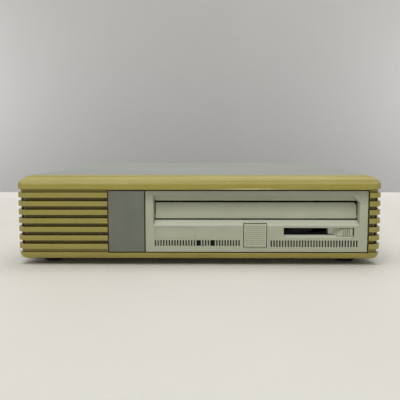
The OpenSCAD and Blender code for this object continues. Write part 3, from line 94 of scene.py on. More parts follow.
# Painted light and shade: how far a face leans up or down, as the Z of its normal, and the colour
# painted over it.
UPWARD_SPAN: Span = (0.12, 0.55)
DOWNWARD_SPAN: Span = (-0.12, -0.6)
# Painted light on faces that look up.
PAINTED_LIGHT_COLOUR: Colour = (0.86, 0.88, 0.76)
# Painted shade on faces that look down.
PAINTED_UNDERSIDE_SHADE: Colour = (0.2, 0.21, 0.15)
PAINTED_UNDERSIDE_SHARE = 0.25

# Dirt and painted shade in hollows, and wear: how open a hollow is, how even an edge is, and the
# patches that are rubbed.
HOLLOW_SPAN: Span = (0.75, 0.15)
HOLLOW_SAMPLES = 6
DIRT_AND_SHADE_SHARE = 0.85
EDGE_SPAN: Span = (0.985, 0.9)
EDGE_SAMPLES = 4
PATCH_SIZE = 0.004
PATCH_SPAN: Span = (0.46, 0.6)
PATCH_SHARE: Span = (0.05, 0.75)

# Grains: factors on the grain's size or on its parts.
BRUSH_STRETCH = 0.02
DROP_SMOOTHNESS = 0.8
DROP_HAZE_SIZE = 2.5
PIT_SCALE = 0.6
PIT_SHARE = 0.5
BAND_SCALE = 0.32
BAND_DISTORTION = 0.6

# Meshes: lengths in metres, angles in degrees.
MERGE_REACH = 0.000004
SHARP_ANGLE = 40.0
SMOOTH_ANGLE = 32.0
JOIN_ANGLE = 0.6
FACE_WEIGHT = 100


class Grain(Enum):
    """How the surface of a finish is broken up."""

    MOULDED = "moulded"
    SPRAYED = "sprayed"
    BRUSHED = "brushed"
    CAST = "cast"
    LAMINATED = "laminated"
    WOUND = "wound"
    WOVEN = "woven"
    POLISHED = "polished"


class Axis(Enum):
    """The direction that brush strokes, layers or a spring follow."""

    X = (1.0, 0.0, 0.0)
    Y = (0.0, 1.0, 0.0)
    Z = (0.0, 0.0, 1.0)


class NodeBoard:
    """A material's node tree, with short ways to add and join nodes."""

    def __init__(self, name: str) -> None:
        """Starts an empty tree.

        Args:
            name: The material's name.
        """
        self.material = bpy.data.materials.new(name)
        self.material.use_nodes = True
        self.tree = self.material.node_tree
        self.tree.nodes.clear()
        self.coords = self.tree.nodes.new("ShaderNodeTexCoord").outputs["Object"]

    def add(self, kind: str, values: dict | None = None, **settings: object) -> bpy.types.Node:
        """Adds a node.

        Args:
            kind: The node's type, without its prefix.
            values: Socket names or numbers to values or to the sockets they are joined to.
            settings: Attributes of the node itself.

        Returns:
            The new node.
        """
        node = self.tree.nodes.new("ShaderNode" + kind)
        for key, value in settings.items():
            setattr(node, key, value)
        for key, value in (values or {}).items():
            if isinstance(value, bpy.types.NodeSocket):
                self.tree.links.new(value, node.inputs[key])
            else:
                node.inputs[key].default_value = value
        return node

    def noise(self, size: float, detail: float = 3.0, rough: float = 0.55,
              stretch: Point = (1.0, 1.0, 1.0)) -> bpy.types.NodeSocket:
        """A noise whose main blotches are about a size across.

        Args:
            size: The blotches' size in metres.
            detail: How many finer layers it has.
            rough: How strong the finer layers are.
            stretch: Factors on the pattern's frequency along X, Y and Z.

        Returns:
            The noise's value socket.
        """
        spot = self.add("Mapping", {"Vector": self.coords, "Scale": stretch})
        return self.add("TexNoise", {"Vector": spot.outputs[0], "Scale": 1 / size,
                                     "Detail": detail, "Roughness": rough}).outputs[0]

    def spread(self, value: bpy.types.NodeSocket, span: Span,
               result: Span = (0.0, 1.0)) -> bpy.types.NodeSocket:
        """Maps a value's span onto a result's, held at both ends."""
        return self.add("MapRange", {"Value": value, "From Min": span[0], "From Max": span[1],
                                     "To Min": result[0], "To Max": result[1]}).outputs[0]

    def sums(self, operation: str, first: bpy.types.NodeSocket,
             second: bpy.types.NodeSocket | float) -> bpy.types.NodeSocket:
        """A Math node's operation on a value and a second value or number."""
        return self.add("Math", {0: first, 1: second}, operation=operation).outputs[0]

    def height(self, vector: bpy.types.NodeSocket) -> bpy.types.NodeSocket:
        """The Z part of a vector."""
        return self.add("SeparateXYZ", {"Vector": vector}).outputs[2]

    def grey(self, tone: bpy.types.NodeSocket) -> bpy.types.NodeSocket:
        """The grey that has a tone."""
        return self.add("CombineColor", {part: tone for part in range(3)}).outputs[0]

    def mix(self, share: bpy.types.NodeSocket | float, under: bpy.types.NodeSocket | Colour,
            over: bpy.types.NodeSocket | Colour, how: str = "MIX") -> bpy.types.NodeSocket:
        """Lays one colour over another.

        Args:
            share: How much of the upper colour shows.
            under: The lower colour or its socket.
            over: The upper colour or its socket.
            how: The way that the upper colour is laid on.

        Returns:
            The mixed colour's socket.
        """
        node = self.add("Mix", {0: share}, data_type="RGBA", blend_type=how)
        for number, value in ((6, under), (7, over)):
            if isinstance(value, bpy.types.NodeSocket):
                self.tree.links.new(value, node.inputs[number])
            else:
                node.inputs[number].default_value = (*value, 1.0)
        return node.outputs[2]


@dataclass(frozen=True)
class Finish:
    """One finish: its colours, its grain, its gloss and its wear, with sizes in metres.

    Painted light and shade is how strongly faces that look up are painted lighter, and faces that
    look down darker. Painted overhang shade is two heights and the tone that the colour falls to
    from the first to the second, as a painted shade under an overhang.
    """

    name: str
    colour: Colour
    stain: Colour
    stain_size: float = 0.04
    stain_share: float = 0.6
    grain: Grain = Grain.MOULDED
    grain_size: float = 0.0004
    grain_depth: float = 0.00002
    along: Axis = Axis.X
    speckle: float = 0.06
    metallic: float = 0.0
    roughness: Span = (0.45, 0.6)
    coat: float = 0.0
    clear: float = 0.0
    index: float = 1.49
    hollow_dirt_and_shade: Colour | None = None
    dirt_and_shade_reach: float = 0.003
    wear: Colour | None = None
    wear_width: float = 0.0003
    painted_light_and_shade: float = 0.0
    painted_overhang_shade: tuple[float, float, float] | None = None

    def _mottled(self, board: NodeBoard, blotch: bpy.types.NodeSocket,
                 fine: bpy.types.NodeSocket) -> bpy.types.NodeSocket:
        """The finish's own colour, stained and speckled.

        Args:
            board: The material's board.
            blotch: The stains' noise.
            fine: The speckle's noise.

        Returns:
            The colour's socket.
        """
        drift_noise = board.noise(self.stain_size * DRIFT_SIZE, rough=0.5, stretch=DRIFT_STRETCH)
        share = board.spread(blotch, STAIN_SPAN, (0.0, self.stain_share))
        stained = board.mix(share, self.colour, self.stain)
        slow = self.speckle * DRIFT_SHARE
        tone = board.spread(fine, TONE_SPAN, (1.0 - self.speckle, 1.0 + self.speckle))
        drift = board.spread(drift_noise, TONE_SPAN, (1.0 - slow, 1.0 + slow))
        return board.mix(1.0, stained, board.grey(board.sums("MULTIPLY", tone, drift)), "MULTIPLY")

    def _paint_facing_light(self, board: NodeBoard, colour: bpy.types.NodeSocket) -> bpy.types.NodeSocket:
        """Paints light onto what faces up, and paints shade onto what faces down.

        Args:
            board: The material's board.
            colour: The colour so far.

        Returns:
            The colour's socket.
        """
        rise = board.height(board.add("NewGeometry").outputs["Normal"])
        painted_light_and_shade = board.spread(rise, UPWARD_SPAN, (0.0, self.painted_light_and_shade))
        underside_shade = board.spread(rise, DOWNWARD_SPAN, (0.0, self.painted_light_and_shade * PAINTED_UNDERSIDE_SHARE))
        return board.mix(underside_shade, board.mix(painted_light_and_shade, colour, PAINTED_LIGHT_COLOUR), PAINTED_UNDERSIDE_SHADE)

    def _paint_overhang_shade(self, board: NodeBoard, colour: bpy.types.NodeSocket) -> bpy.types.NodeSocket:
        """Paints shade into the colour, darker with height, as under an overhang.

        Args:
            board: The material's board.
            colour: The colour so far.

        Returns:
            The colour's socket.
        """
        low, high, tone = self.painted_overhang_shade
        painted_fall = board.spread(board.height(board.coords), (low, high), (1.0, tone))
        return board.mix(1.0, colour, board.grey(painted_fall), "MULTIPLY")

    def _paint_hollow_dirt_and_shade(self, board: NodeBoard, colour: bpy.types.NodeSocket) -> bpy.types.NodeSocket:
        """Lays dirt and painted shade into corners and hollows.

        Args:
            board: The material's board.
            colour: The colour so far.

        Returns:
            The colour's socket.
        """
        hollow = board.add("AmbientOcclusion", {"Distance": self.dirt_and_shade_reach},
                           samples=HOLLOW_SAMPLES).outputs["AO"]
        return board.mix(board.spread(hollow, HOLLOW_SPAN, (0.0, DIRT_AND_SHADE_SHARE)), colour, self.hollow_dirt_and_shade)

    def _worn(self, board: NodeBoard, colour: bpy.types.NodeSocket) -> bpy.types.NodeSocket:
        """Rubs the edges pale, in patches.

        Args:
            board: The material's board.
            colour: The colour so far.

        Returns:
            The colour's socket.
        """
        rounded = board.add("Bevel", {"Radius": self.wear_width}, samples=EDGE_SAMPLES).outputs[0]
        true = board.add("NewGeometry").outputs["Normal"]
        evenness = board.add("VectorMath", {0: rounded, 1: true},
                             operation="DOT_PRODUCT").outputs["Value"]
        patch = board.spread(board.noise(PATCH_SIZE, detail=4.0, rough=0.7), PATCH_SPAN,
                             PATCH_SHARE)
        share = board.sums("MULTIPLY", board.spread(evenness, EDGE_SPAN), patch)
        return board.mix(share, colour, self.wear)

    def _relief(self, board: NodeBoard) -> bpy.types.NodeSocket:
        """The height pattern of the grain.

        Args:
            board: The material's board.

        Returns:
            The height's socket.
        """
        size = self.grain_size
        if self.grain is Grain.BRUSHED:
            stretch = tuple(BRUSH_STRETCH if part else 1.0 for part in self.along.value)
            return board.noise(size, detail=4.0, rough=0.7, stretch=stretch)
        if self.grain is Grain.SPRAYED:
            drops = board.add("TexVoronoi", {"Vector": board.coords, "Scale": 1 / size,
                                             "Smoothness": DROP_SMOOTHNESS}, feature="SMOOTH_F1")
            haze = board.noise(size * DROP_HAZE_SIZE, detail=2.0)
            return board.sums("ADD", drops.outputs[0], haze)
        if self.grain is Grain.CAST:
            cells = board.add("TexVoronoi", {"Vector": board.coords, "Scale": PIT_SCALE / size})
            pits = board.sums("MULTIPLY", cells.outputs[0], PIT_SHARE)
            return board.sums("ADD", board.noise(size, detail=5.0, rough=0.7), pits)
        if self.grain in (Grain.LAMINATED, Grain.WOUND):
            bands = board.add("TexWave", {"Vector": board.coords, "Scale": BAND_SCALE / size,
                                          "Distortion": BAND_DISTORTION, "Detail": 1.0},
                              wave_type="BANDS", bands_direction=self.along.name)
            return bands.outputs[1]
        if self.grain is Grain.WOVEN:
            weft, warp = (board.add("TexWave", {"Vector": board.coords,
                                                "Scale": BAND_SCALE / size},
                                    bands_direction=way).outputs[1] for way in "XY")
            return board.sums("MULTIPLY", weft, warp)
        return board.noise(size, detail=2.0, rough=0.5)

    def material(self) -> bpy.types.Material:
        """The finish's material, made once.

        Returns:
            The material.
        """
        if self.name in bpy.data.materials:
            return bpy.data.materials[self.name]
        board = NodeBoard(self.name)
        blotch = board.noise(self.stain_size, detail=4.0, rough=0.6)
        fine = board.noise(self.grain_size * 2, rough=0.6)
        colour = self._mottled(board, blotch, fine)
        if self.painted_light_and_shade:
            colour = self._paint_facing_light(board, colour)
        if self.painted_overhang_shade:
            colour = self._paint_overhang_shade(board, colour)
        if self.hollow_dirt_and_shade:
            colour = self._paint_hollow_dirt_and_shade(board, colour)
        if self.wear:
            colour = self._worn(board, colour)
        rough = board.spread(board.sums("ADD", blotch, fine), ROUGHNESS_SPAN, self.roughness)
        bump = board.add("Bump", {"Height": self._relief(board), "Strength": 1.0,
                                  "Distance": self.grain_depth})
        shader = board.add("BsdfPrincipled", {
            "Base Color": colour, "Roughness": rough, "Normal": bump.outputs[0],
            "Metallic": self.metallic, "Coat Weight": self.coat,
            "Coat Roughness": COAT_ROUGHNESS, "Transmission Weight": self.clear,
            "IOR": self.index})
        board.add("OutputMaterial", {"Surface": shader.outputs[0]})
        return board.material


# The case's grooves and hollows take dark brown dirt with painted shade.
CASE_PLASTIC = Finish(
    "case_plastic_yellowed", colour=(0.455, 0.395, 0.105), stain=(0.405, 0.345, 0.08),
    stain_size=0.06, stain_share=0.7, grain_size=0.0005, grain_depth=0.000003, speckle=0.05,
    roughness=(0.1, 0.15), index=1.36, hollow_dirt_and_shade=(0.05, 0.028, 0.001), dirt_and_shade_reach=0.005,
    wear=(0.54, 0.49, 0.22))
BADGE_PLASTIC = Finish(
    "badge_plastic_grey", colour=(0.215, 0.232, 0.19), stain=(0.19, 0.21, 0.165), stain_size=0.02,
    stain_share=0.5, speckle=0.07, roughness=(0.4, 0.55), hollow_dirt_and_shade=(0.06, 0.06, 0.05),
    wear=(0.3, 0.31, 0.3))
COVER_PAINT = Finish(
    "cover_paint_fine_texture", colour=(0.35, 0.375, 0.34), stain=(0.325, 0.345, 0.305),
    stain_size=0.09, grain=Grain.SPRAYED, grain_size=0.0007, grain_depth=0.00006, speckle=0.05,
    roughness=(0.42, 0.58), hollow_dirt_and_shade=(0.2, 0.18, 0.12), wear=(0.55, 0.55, 0.52))
PAN_STEEL = Finish(
    "pan_zinc_plated_sheet", colour=(0.60, 0.60, 0.58), stain=(0.50, 0.50, 0.46), stain_size=0.03,
    stain_share=0.7, grain=Grain.BRUSHED, grain_size=0.0006, grain_depth=0.000008, speckle=0.05,
    metallic=1.0, roughness=(0.34, 0.5), hollow_dirt_and_shade=(0.2, 0.18, 0.14))
REAR_PAINT = Finish(
    "rear_panel_paint", colour=(0.45, 0.455, 0.41), stain=(0.41, 0.41, 0.36), stain_size=0.05,
    grain=Grain.SPRAYED, grain_size=0.0007, grain_depth=0.00005, roughness=(0.45, 0.6),
    hollow_dirt_and_shade=(0.16, 0.15, 0.11), wear=(0.56, 0.56, 0.54))
# Bezel: painted light on faces that look up, painted shade on faces that look down, painted
# overhang shade at its top, and dirt with painted shade in its hollows.
BEZEL_PLASTIC = Finish(
    "bezel_plastic_light_grey", colour=(0.58, 0.603, 0.46), stain=(0.545, 0.565, 0.415),
    stain_size=0.05, grain_depth=0.000015, speckle=0.035, roughness=(0.38, 0.52),
    hollow_dirt_and_shade=(0.03, 0.033, 0.02), painted_light_and_shade=0.6, painted_overhang_shade=(0.040, 0.048, 0.62))
# Door: painted overhang shade at its top, and dirt with painted shade in its hollows.
DOOR_PLASTIC = Finish(
    "door_plastic_light_grey", colour=(0.59, 0.62, 0.475), stain=(0.56, 0.585, 0.435),
    grain_depth=0.000015, speckle=0.03, roughness=(0.36, 0.5), hollow_dirt_and_shade=(0.2, 0.2, 0.16),
    dirt_and_shade_reach=0.002, painted_overhang_shade=(0.0345, 0.042, 0.58))
# Lighter than the bezel's plastic: painted light on the button's forward face.
LIT_BUTTON_PLASTIC = Finish(
    "button_plastic_painted_light", colour=(0.66, 0.69, 0.53), stain=(0.62, 0.65, 0.48),
    stain_size=0.02, grain_depth=0.000015, speckle=0.03, roughness=(0.36, 0.5),
    hollow_dirt_and_shade=(0.3, 0.3, 0.22), dirt_and_shade_reach=0.0008)
LENS_PLASTIC = Finish(
    "lens_smoked_plastic", colour=(0.008, 0.014, 0.009), stain=(0.012, 0.018, 0.012),
    stain_size=0.003, stain_share=0.5, grain=Grain.POLISHED, grain_size=0.001, grain_depth=0.000002,
    roughness=(0.3, 0.42), index=1.16)
LAMP_PLASTIC = Finish(
    "lamp_tinted_plastic", colour=(0.10, 0.30, 0.08), stain=(0.16, 0.42, 0.12), stain_size=0.003,
    stain_share=0.5, grain=Grain.POLISHED, grain_size=0.001, grain_depth=0.000002,
    roughness=(0.1, 0.2), clear=0.4)
FOOT_RUBBER = Finish(
    "foot_rubber_matt", colour=(0.022, 0.022, 0.022), stain=(0.05, 0.048, 0.044), stain_size=0.006,
    grain_size=0.0006, grain_depth=0.00005, speckle=0.15, roughness=(0.75, 0.92))
SCREW_STEEL = Finish(
    "screw_nickel_plated", colour=(0.66, 0.65, 0.61), stain=(0.52, 0.50, 0.45), stain_size=0.003,
    grain=Grain.BRUSHED, grain_size=0.0003, grain_depth=0.000004, metallic=1.0,
    roughness=(0.18, 0.34), hollow_dirt_and_shade=(0.12, 0.11, 0.09), dirt_and_shade_reach=0.0012)
CAST_METAL = Finish(
    "casting_raw_alloy", colour=(0.55, 0.56, 0.57), stain=(0.44, 0.45, 0.46), stain_size=0.012,
    stain_share=0.7, grain=Grain.CAST, grain_size=0.0008, grain_depth=0.00006, speckle=0.09,
    metallic=1.0, roughness=(0.42, 0.62), hollow_dirt_and_shade=(0.16, 0.16, 0.15))
PLATED_STEEL = Finish(
    "sheet_bright_plated", colour=(0.56, 0.57, 0.58), stain=(0.46, 0.47, 0.47), stain_size=0.02,
    grain=Grain.BRUSHED, grain_size=0.0005, grain_depth=0.000006, along=Axis.Y, metallic=1.0,
    roughness=(0.26, 0.42), hollow_dirt_and_shade=(0.14, 0.13, 0.12))
# Near-black steel: painted shade for the dark inside of the drive, seen through the lever slot.
SLOT_SHADE_BLACK = Finish(
    "sheet_black_painted_shade", colour=(0.012, 0.012, 0.011), stain=(0.02, 0.019, 0.016), stain_size=0.008,
    grain=Grain.BRUSHED, grain_size=0.0005, grain_depth=0.000006, speckle=0.12, metallic=0.3,
    roughness=(0.55, 0.7))
BLACK_PLASTIC = Finish(
    "black_plastic_moulded", colour=(0.018, 0.018, 0.018), stain=(0.03, 0.029, 0.027),
    stain_size=0.01, speckle=0.12, roughness=(0.42, 0.6), wear=(0.07, 0.07, 0.068))
WHITE_PLASTIC = Finish(
    "natural_plastic_moulded", colour=(0.58, 0.56, 0.49), stain=(0.52, 0.49, 0.40),
    stain_size=0.012, grain_depth=0.000012, speckle=0.04, roughness=(0.36, 0.5),
    hollow_dirt_and_shade=(0.22, 0.2, 0.15), dirt_and_shade_reach=0.0015)
BOARD_LACQUER = Finish(
    "board_green_lacquer", colour=(0.022, 0.11, 0.045), stain=(0.035, 0.15, 0.06), stain_size=0.008,
    stain_share=0.7, grain=Grain.WOVEN, grain_size=0.0008, grain_depth=0.00001, speckle=0.12,
    roughness=(0.22, 0.38), coat=0.3)
CORE_IRON = Finish(
    "core_varnished_laminations", colour=(0.085, 0.075, 0.066), stain=(0.13, 0.11, 0.085),
    stain_size=0.006, grain=Grain.LAMINATED, grain_size=0.0005, grain_depth=0.00008, along=Axis.Y,
    speckle=0.15, metallic=0.5, roughness=(0.4, 0.6))
COPPER = Finish(
    "copper_enamelled_turns", colour=(0.50, 0.19, 0.07), stain=(0.36, 0.12, 0.04), stain_size=0.004,
    grain=Grain.WOUND, grain_size=0.0007, grain_depth=0.0001, speckle=0.1, metallic=0.8,
    roughness=(0.25, 0.4), coat=0.3)
GOLD_CONTACT = Finish(
    "contact_plating", colour=(0.80, 0.58, 0.24), stain=(0.68, 0.46, 0.17), stain_size=0.002,
    stain_share=0.5, grain=Grain.BRUSHED, grain_size=0.0002, grain_depth=0.000002, metallic=1.0,
    roughness=(0.18, 0.3))
CAPACITOR_SLEEVE = Finish(
    "capacitor_shrunk_sleeve", colour=(0.018, 0.024, 0.085), stain=(0.03, 0.036, 0.11),
    stain_size=0.006, stain_share=0.5, grain=Grain.POLISHED, grain_size=0.0015, grain_depth=0.00001,
    speckle=0.1, roughness=(0.2, 0.34), coat=0.2)
HEATSINK = Finish(
    "heatsink_drawn_alloy", colour=(0.50, 0.51, 0.52), stain=(0.42, 0.43, 0.44), stain_size=0.01,
    grain=Grain.BRUSHED, grain_depth=0.00001, along=Axis.Z, metallic=1.0, roughness=(0.36, 0.5),
    hollow_dirt_and_shade=(0.12, 0.12, 0.12))
FUSE_GLASS = Finish(
    "fuse_clear_glass", colour=(0.86, 0.90, 0.89), stain=(0.80, 0.86, 0.85), stain_size=0.004,
    stain_share=0.5, grain=Grain.POLISHED, grain_size=0.002, grain_depth=0.000002, speckle=0.02,
    roughness=(0.03, 0.08), clear=0.9)
WIRE_SLEEVE = Finish(
    "wire_flexible_sleeve", colour=(0.33, 0.03, 0.022), stain=(0.24, 0.02, 0.016), stain_size=0.006,
    stain_share=0.5, grain=Grain.POLISHED, grain_size=0.001, grain_depth=0.00001, speckle=0.08,
    roughness=(0.3, 0.42))
RIBBON_SLEEVE = Finish(
    "ribbon_grey_sleeve", colour=(0.36, 0.37, 0.37), stain=(0.31, 0.32, 0.32), stain_size=0.006,
    stain_share=0.5, grain=Grain.WOUND, grain_size=0.00127, grain_depth=0.0002, speckle=0.05,
    roughness=(0.42, 0.55))

SLOT_FINISHES: dict[str, Finish] = {
    "case_plastic": CASE_PLASTIC,
    "badge_plastic": BADGE_PLASTIC,
    "cover_paint": COVER_PAINT,
    "pan_steel": PAN_STEEL,
    "bezel_plastic": BEZEL_PLASTIC,
    "door_plastic": DOOR_PLASTIC,
    "lens_plastic": LENS_PLASTIC,
    "lamp_plastic": LAMP_PLASTIC,
    "foot_rubber": FOOT_RUBBER,
    "screw_steel": SCREW_STEEL,
    "cast_metal": CAST_METAL,
    "steel": PLATED_STEEL,
    "black_plastic": BLACK_PLASTIC,
    "white_plastic": WHITE_PLASTIC,
    "board": BOARD_LACQUER,
    "core_iron": CORE_IRON,
    "copper": COPPER,
    "gold_contact": GOLD_CONTACT,
    "capacitor_sleeve": CAPACITOR_SLEEVE,
    "heatsink": HEATSINK,
    "fuse_glass": FUSE_GLASS,
    "wire_sleeve": WIRE_SLEEVE,
    "ribbon_sleeve": RIBBON_SLEEVE,
}


class Bench:
    """The workbench: copies and shapes meshes, and hands pieces to their bodies."""

    def __init__(self, frame: dict) -> None:
        """Keeps the frame's nodes and their material slots.
        """
        self.nodes: dict[str, bpy.types.Object] = frame["nodes"]
        self.slots: dict[str, str] = {part["node"]: part["material_slot"]
                                      for part in frame["record"]["subparts"]}

    def pick(self, piece: bpy.types.Object) -> None:
        """Deselects everything and makes one piece active.

        Args:
            piece: The piece.
        """
        for other in list(bpy.context.selected_objects):
            other.select_set(False)
        piece.select_set(True)
        bpy.context.view_layer.objects.active = piece

    def settle(self, piece: bpy.types.Object, smooth: float = SMOOTH_ANGLE) -> None:
        """Puts a piece's place into its mesh and smooths what turns by less than an angle.

        Args:
            piece: The piece.
            smooth: The angle in degrees.
        """
        self.pick(piece)
        bpy.ops.object.transform_apply(location=True, rotation=True, scale=True)
        bpy.ops.object.shade_smooth_by_angle(angle=math.radians(smooth))

    def merge(self, piece: bpy.types.Object, join: float) -> None:
        """Merges a mesh's loose triangles, and joins those that lie in one plane.

        Args:
            piece: The piece.
            join: The angle in degrees within which faces are joined, or 0 to leave them.
        """
        self.pick(piece)
        bpy.ops.object.mode_set(mode="EDIT")
        bpy.ops.mesh.select_all(action="SELECT")
        bpy.ops.mesh.remove_doubles(threshold=MERGE_REACH)
        if join:
            bpy.ops.mesh.dissolve_limited(angle_limit=math.radians(join), delimit={"NORMAL"})
        bpy.ops.mesh.select_all(action="DESELECT")
        bpy.ops.object.mode_set(mode="OBJECT")

    def round_edges(self, piece: bpy.types.Object, reach: float, strips: int = 2) -> None:
        """Rounds a piece's sharp edges.

        Args:
            piece: The piece.
            reach: How far the rounding reaches from the edge, in metres.
            strips: How many strips the rounding has.
        """
        self.pick(piece)
        modifier = piece.modifiers.new("rounded_edges", "BEVEL")
        modifier.width = reach
        modifier.segments = strips
        modifier.limit_method = "ANGLE"
        modifier.angle_limit = math.radians(SHARP_ANGLE)
        modifier.use_clamp_overlap = False
        modifier.miter_outer = "MITER_ARC"
        bpy.ops.object.modifier_apply(modifier=modifier.name)

    def level_shading(self, piece: bpy.types.Object) -> None:
        """Lets the large faces rule the shading, so that only the rounded edges turn.

        Args:
            piece: The piece.
        """
        self.pick(piece)
        modifier = piece.modifiers.new("level_shading", "WEIGHTED_NORMAL")
        modifier.weight = FACE_WEIGHT
        modifier.keep_sharp = True
        bpy.ops.object.modifier_apply(modifier=modifier.name)

    def paint(self, piece: bpy.types.Object, finish: Finish) -> None:
        """Gives a piece one finish all over.

        Args:
            piece: The piece.
            finish: Its finish.
        """
        piece.data.materials.clear()
        piece.data.materials.append(finish.material())
        for face in piece.data.polygons:
            face.material_index = 0

    def refined_copy(self, node: str, reach: float = 0.0, smooth: float = SMOOTH_ANGLE,
                     join: float = JOIN_ANGLE) -> bpy.types.Object:
        """A merged copy of a node, rounded at its edges, that stands for the node.

        Args:
            node: The node's name.
            reach: How far the rounding reaches from an edge, in metres, or 0 for none.
            smooth: The angle in degrees up to which the surface is smooth.
            join: The angle in degrees within which faces are joined, or 0 to leave them.

        Returns:
            The copy, riding on the node's body.
        """
        piece = bpy.data.objects.new(node + "_finished", self.nodes[node].data.copy())
        bpy.context.scene.collection.objects.link(piece)
        self.merge(piece, join)
        if reach:
            self.round_edges(piece, reach)
        self.settle(piece, smooth)
        if reach:
            self.level_shading(piece)
        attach(piece, self.nodes[node]["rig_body"])
        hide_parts(node)
        self.paint(piece, SLOT_FINISHES[self.slots[node]])
        LOG.info("piece %s stands for %s: %d faces", piece.name, node, len(piece.data.polygons))
        return piece

    def dress_nodes(self, nodes: Iterable[str], finish: Finish | None = None) -> None:
        """Gives nodes that keep their own shape a finish.

        Args:
            nodes: The nodes' names.
            finish: The finish, if not that of each node's slot.
        """
        for node in nodes:
            material = (finish or SLOT_FINISHES[self.slots[node]]).material()
            for place in self.nodes[node].material_slots:
                place.material = material
            LOG.info("node %s is dressed", node)


@dataclass
class SubAssembly(ABC):
    """A group of the drive's pieces that are shaped and dressed together."""

    bench: Bench

    @abstractmethod
    def build(self) -> None:
        """Makes the group's shaped pieces."""

    @abstractmethod
    def dress(self) -> None:
        """Gives pieces and nodes of the group the finishes that they still need."""

    def make(self) -> None:
        """Builds and dresses the group, and reports it."""
        self.build()
        self.dress()
        LOG.info("%s done", type(self).__name__)


@dataclass
class Case(SubAssembly):
    """The outer case: moulding, badge panel, cover, pan, rear panel, feet and screws."""

    rib_edge: float = 0.00025
    badge_edge: float = 0.0003
    screw_edge: float = 0.0001

    def build(self) -> None:
        """Makes the case's shaped pieces. The sheet pieces keep their edges and faces."""
        self.bench.refined_copy("front_moulding", self.rib_edge)
        self.bench.refined_copy("badge_panel", self.badge_edge)
        for node in ("top_cover", "chassis_pan", "rear_panel"):
            self.bench.refined_copy(node, join=0.0)
        self.bench.refined_copy("rubber_feet", self.rib_edge)
        self.bench.refined_copy("case_screws", self.screw_edge, join=0.0)

    def dress(self) -> None:
        """Gives the rear panel its own paint."""
        self.bench.paint(bpy.data.objects["rear_panel_finished"], REAR_PAINT)


@dataclass
class DriveFront(SubAssembly):
    """The drive's face: bezel, door, button, lever and lamps."""

    edge: float = 0.0002
    lamp_edge: float = 0.0001
    press: float = 0.0015
    bezel_smooth: float = 9.0

    def build(self) -> None:
        """Makes the face's shaped pieces, and the spring behind the button, on a mesh of its own.
        """
        spring = self.bench.refined_copy("button_spring", join=0.0)
        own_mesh(spring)
        self.bench.refined_copy("drive_bezel", smooth=self.bezel_smooth, join=0.0)
        for node in ("cartridge_door", "stop_button", "lever"):
            self.bench.refined_copy(node, self.edge, join=0.0)
        for node in ("indicator_lenses", "front_lamps"):
            self.bench.refined_copy(node, self.lamp_edge)

    def dress(self) -> None:
        """Paints light on the button and shade on the lever slide, and dresses what lies behind the
        face.
        """
        self.bench.paint(bpy.data.objects["stop_button_finished"], LIT_BUTTON_PLASTIC)
        self.bench.dress_nodes(["lamp_board"])
        self.bench.dress_nodes(["lever_slide"], SLOT_SHADE_BLACK)


@dataclass
class DriveBody(SubAssembly):
    """The drive behind its face: casting, deck, motor, hub, arm and boards."""

    edge: float = 0.0002

    def build(self) -> None:
        """Makes the drive's shaped pieces."""
        for node in ("drive_casting", "drive_top_plate", "cartridge_guides", "spindle_hub",
                     "head_arm", "motor_plate", "spindle_motor"):
            self.bench.refined_copy(node, self.edge, join=0.0)

    def dress(self) -> None:
        """Gives the motor plate painted shade, and dresses the pieces that keep their own shape."""
        self.bench.paint(bpy.data.objects["motor_plate_finished"], SLOT_SHADE_BLACK)
        self.bench.dress_nodes(["magnet_yoke", "drive_board", "board_parts", "board_connectors",
                                "drive_brackets"])


@dataclass
class PowerSupply(SubAssembly):
    """The supply: board, transformer, capacitors, heatsinks, choke, fuse, plugs and wires."""

    def build(self) -> None:
        """Makes the supply's round pieces smooth."""
        for node in ("supply_capacitors", "supply_choke", "supply_transformer", "power_wires"):
            self.bench.refined_copy(node)

    def dress(self) -> None:
        """Dresses the pieces that keep their own shape."""
        self.bench.dress_nodes(["supply_board", "supply_heatsinks", "supply_fuse",
                                "supply_connectors"])


@dataclass
class RearConnectors(SubAssembly):
    """The back: mains inlet and switch, fan, address dial and the two ports with their bails."""

    edge: float = 0.00015

    def build(self) -> None:
        """Makes the back's shaped pieces. Those of wire and of thin blades keep their edges."""
        for node in ("power_inlet", "switch_body", "switch_rocker", "fan_frame", "id_switch",
                     "id_dial", "port_shells", "port_bodies"):
            self.bench.refined_copy(node, self.edge, join=0.0)
        for node in ("fan_rotor", "fan_guard", "inlet_pins", "bail_upper_left",
                     "bail_upper_right", "bail_lower_left", "bail_lower_right"):
            self.bench.refined_copy(node)

    def dress(self) -> None:
        """Dresses the pieces that keep their own shape."""
        self.bench.dress_nodes(["port_contacts", "port_ribbon"])


TABLE_TOP = Finish(
    "table_pale_laminate", colour=(0.83, 0.815, 0.765), stain=(0.80, 0.785, 0.735), stain_size=0.25,
    stain_share=0.5, grain_size=0.0012, grain_depth=0.00003, speckle=0.015, roughness=(0.45, 0.6))
WALL_PAINT = Finish(
    "wall_pale_paint", colour=(0.55, 0.545, 0.54), stain=(0.52, 0.52, 0.51), stain_size=0.5,
    grain_size=0.004, grain_depth=0.0002, speckle=0.01, roughness=(0.7, 0.85))


@dataclass(frozen=True)
class Panel:
    """One soft rectangular light: its place, its aim, its size and its power in watts."""

    name: str
    place: Point
    aim: Point
    width: float
    depth: float
    power: float
    colour: Colour

    def hang(self) -> None:
        """Hangs the light in the scene."""
        bpy.ops.object.light_add(type="AREA", location=self.place)
        lamp = bpy.context.object
        lamp.name = self.name
        facing = Vector(self.aim) - Vector(self.place)
        lamp.rotation_euler = facing.to_track_quat("-Z", "Y").to_euler()
        lamp.data.shape = "RECTANGLE"
        lamp.data.size = self.width
        lamp.data.size_y = self.depth
        lamp.data.energy = self.power
        lamp.data.color = self.colour


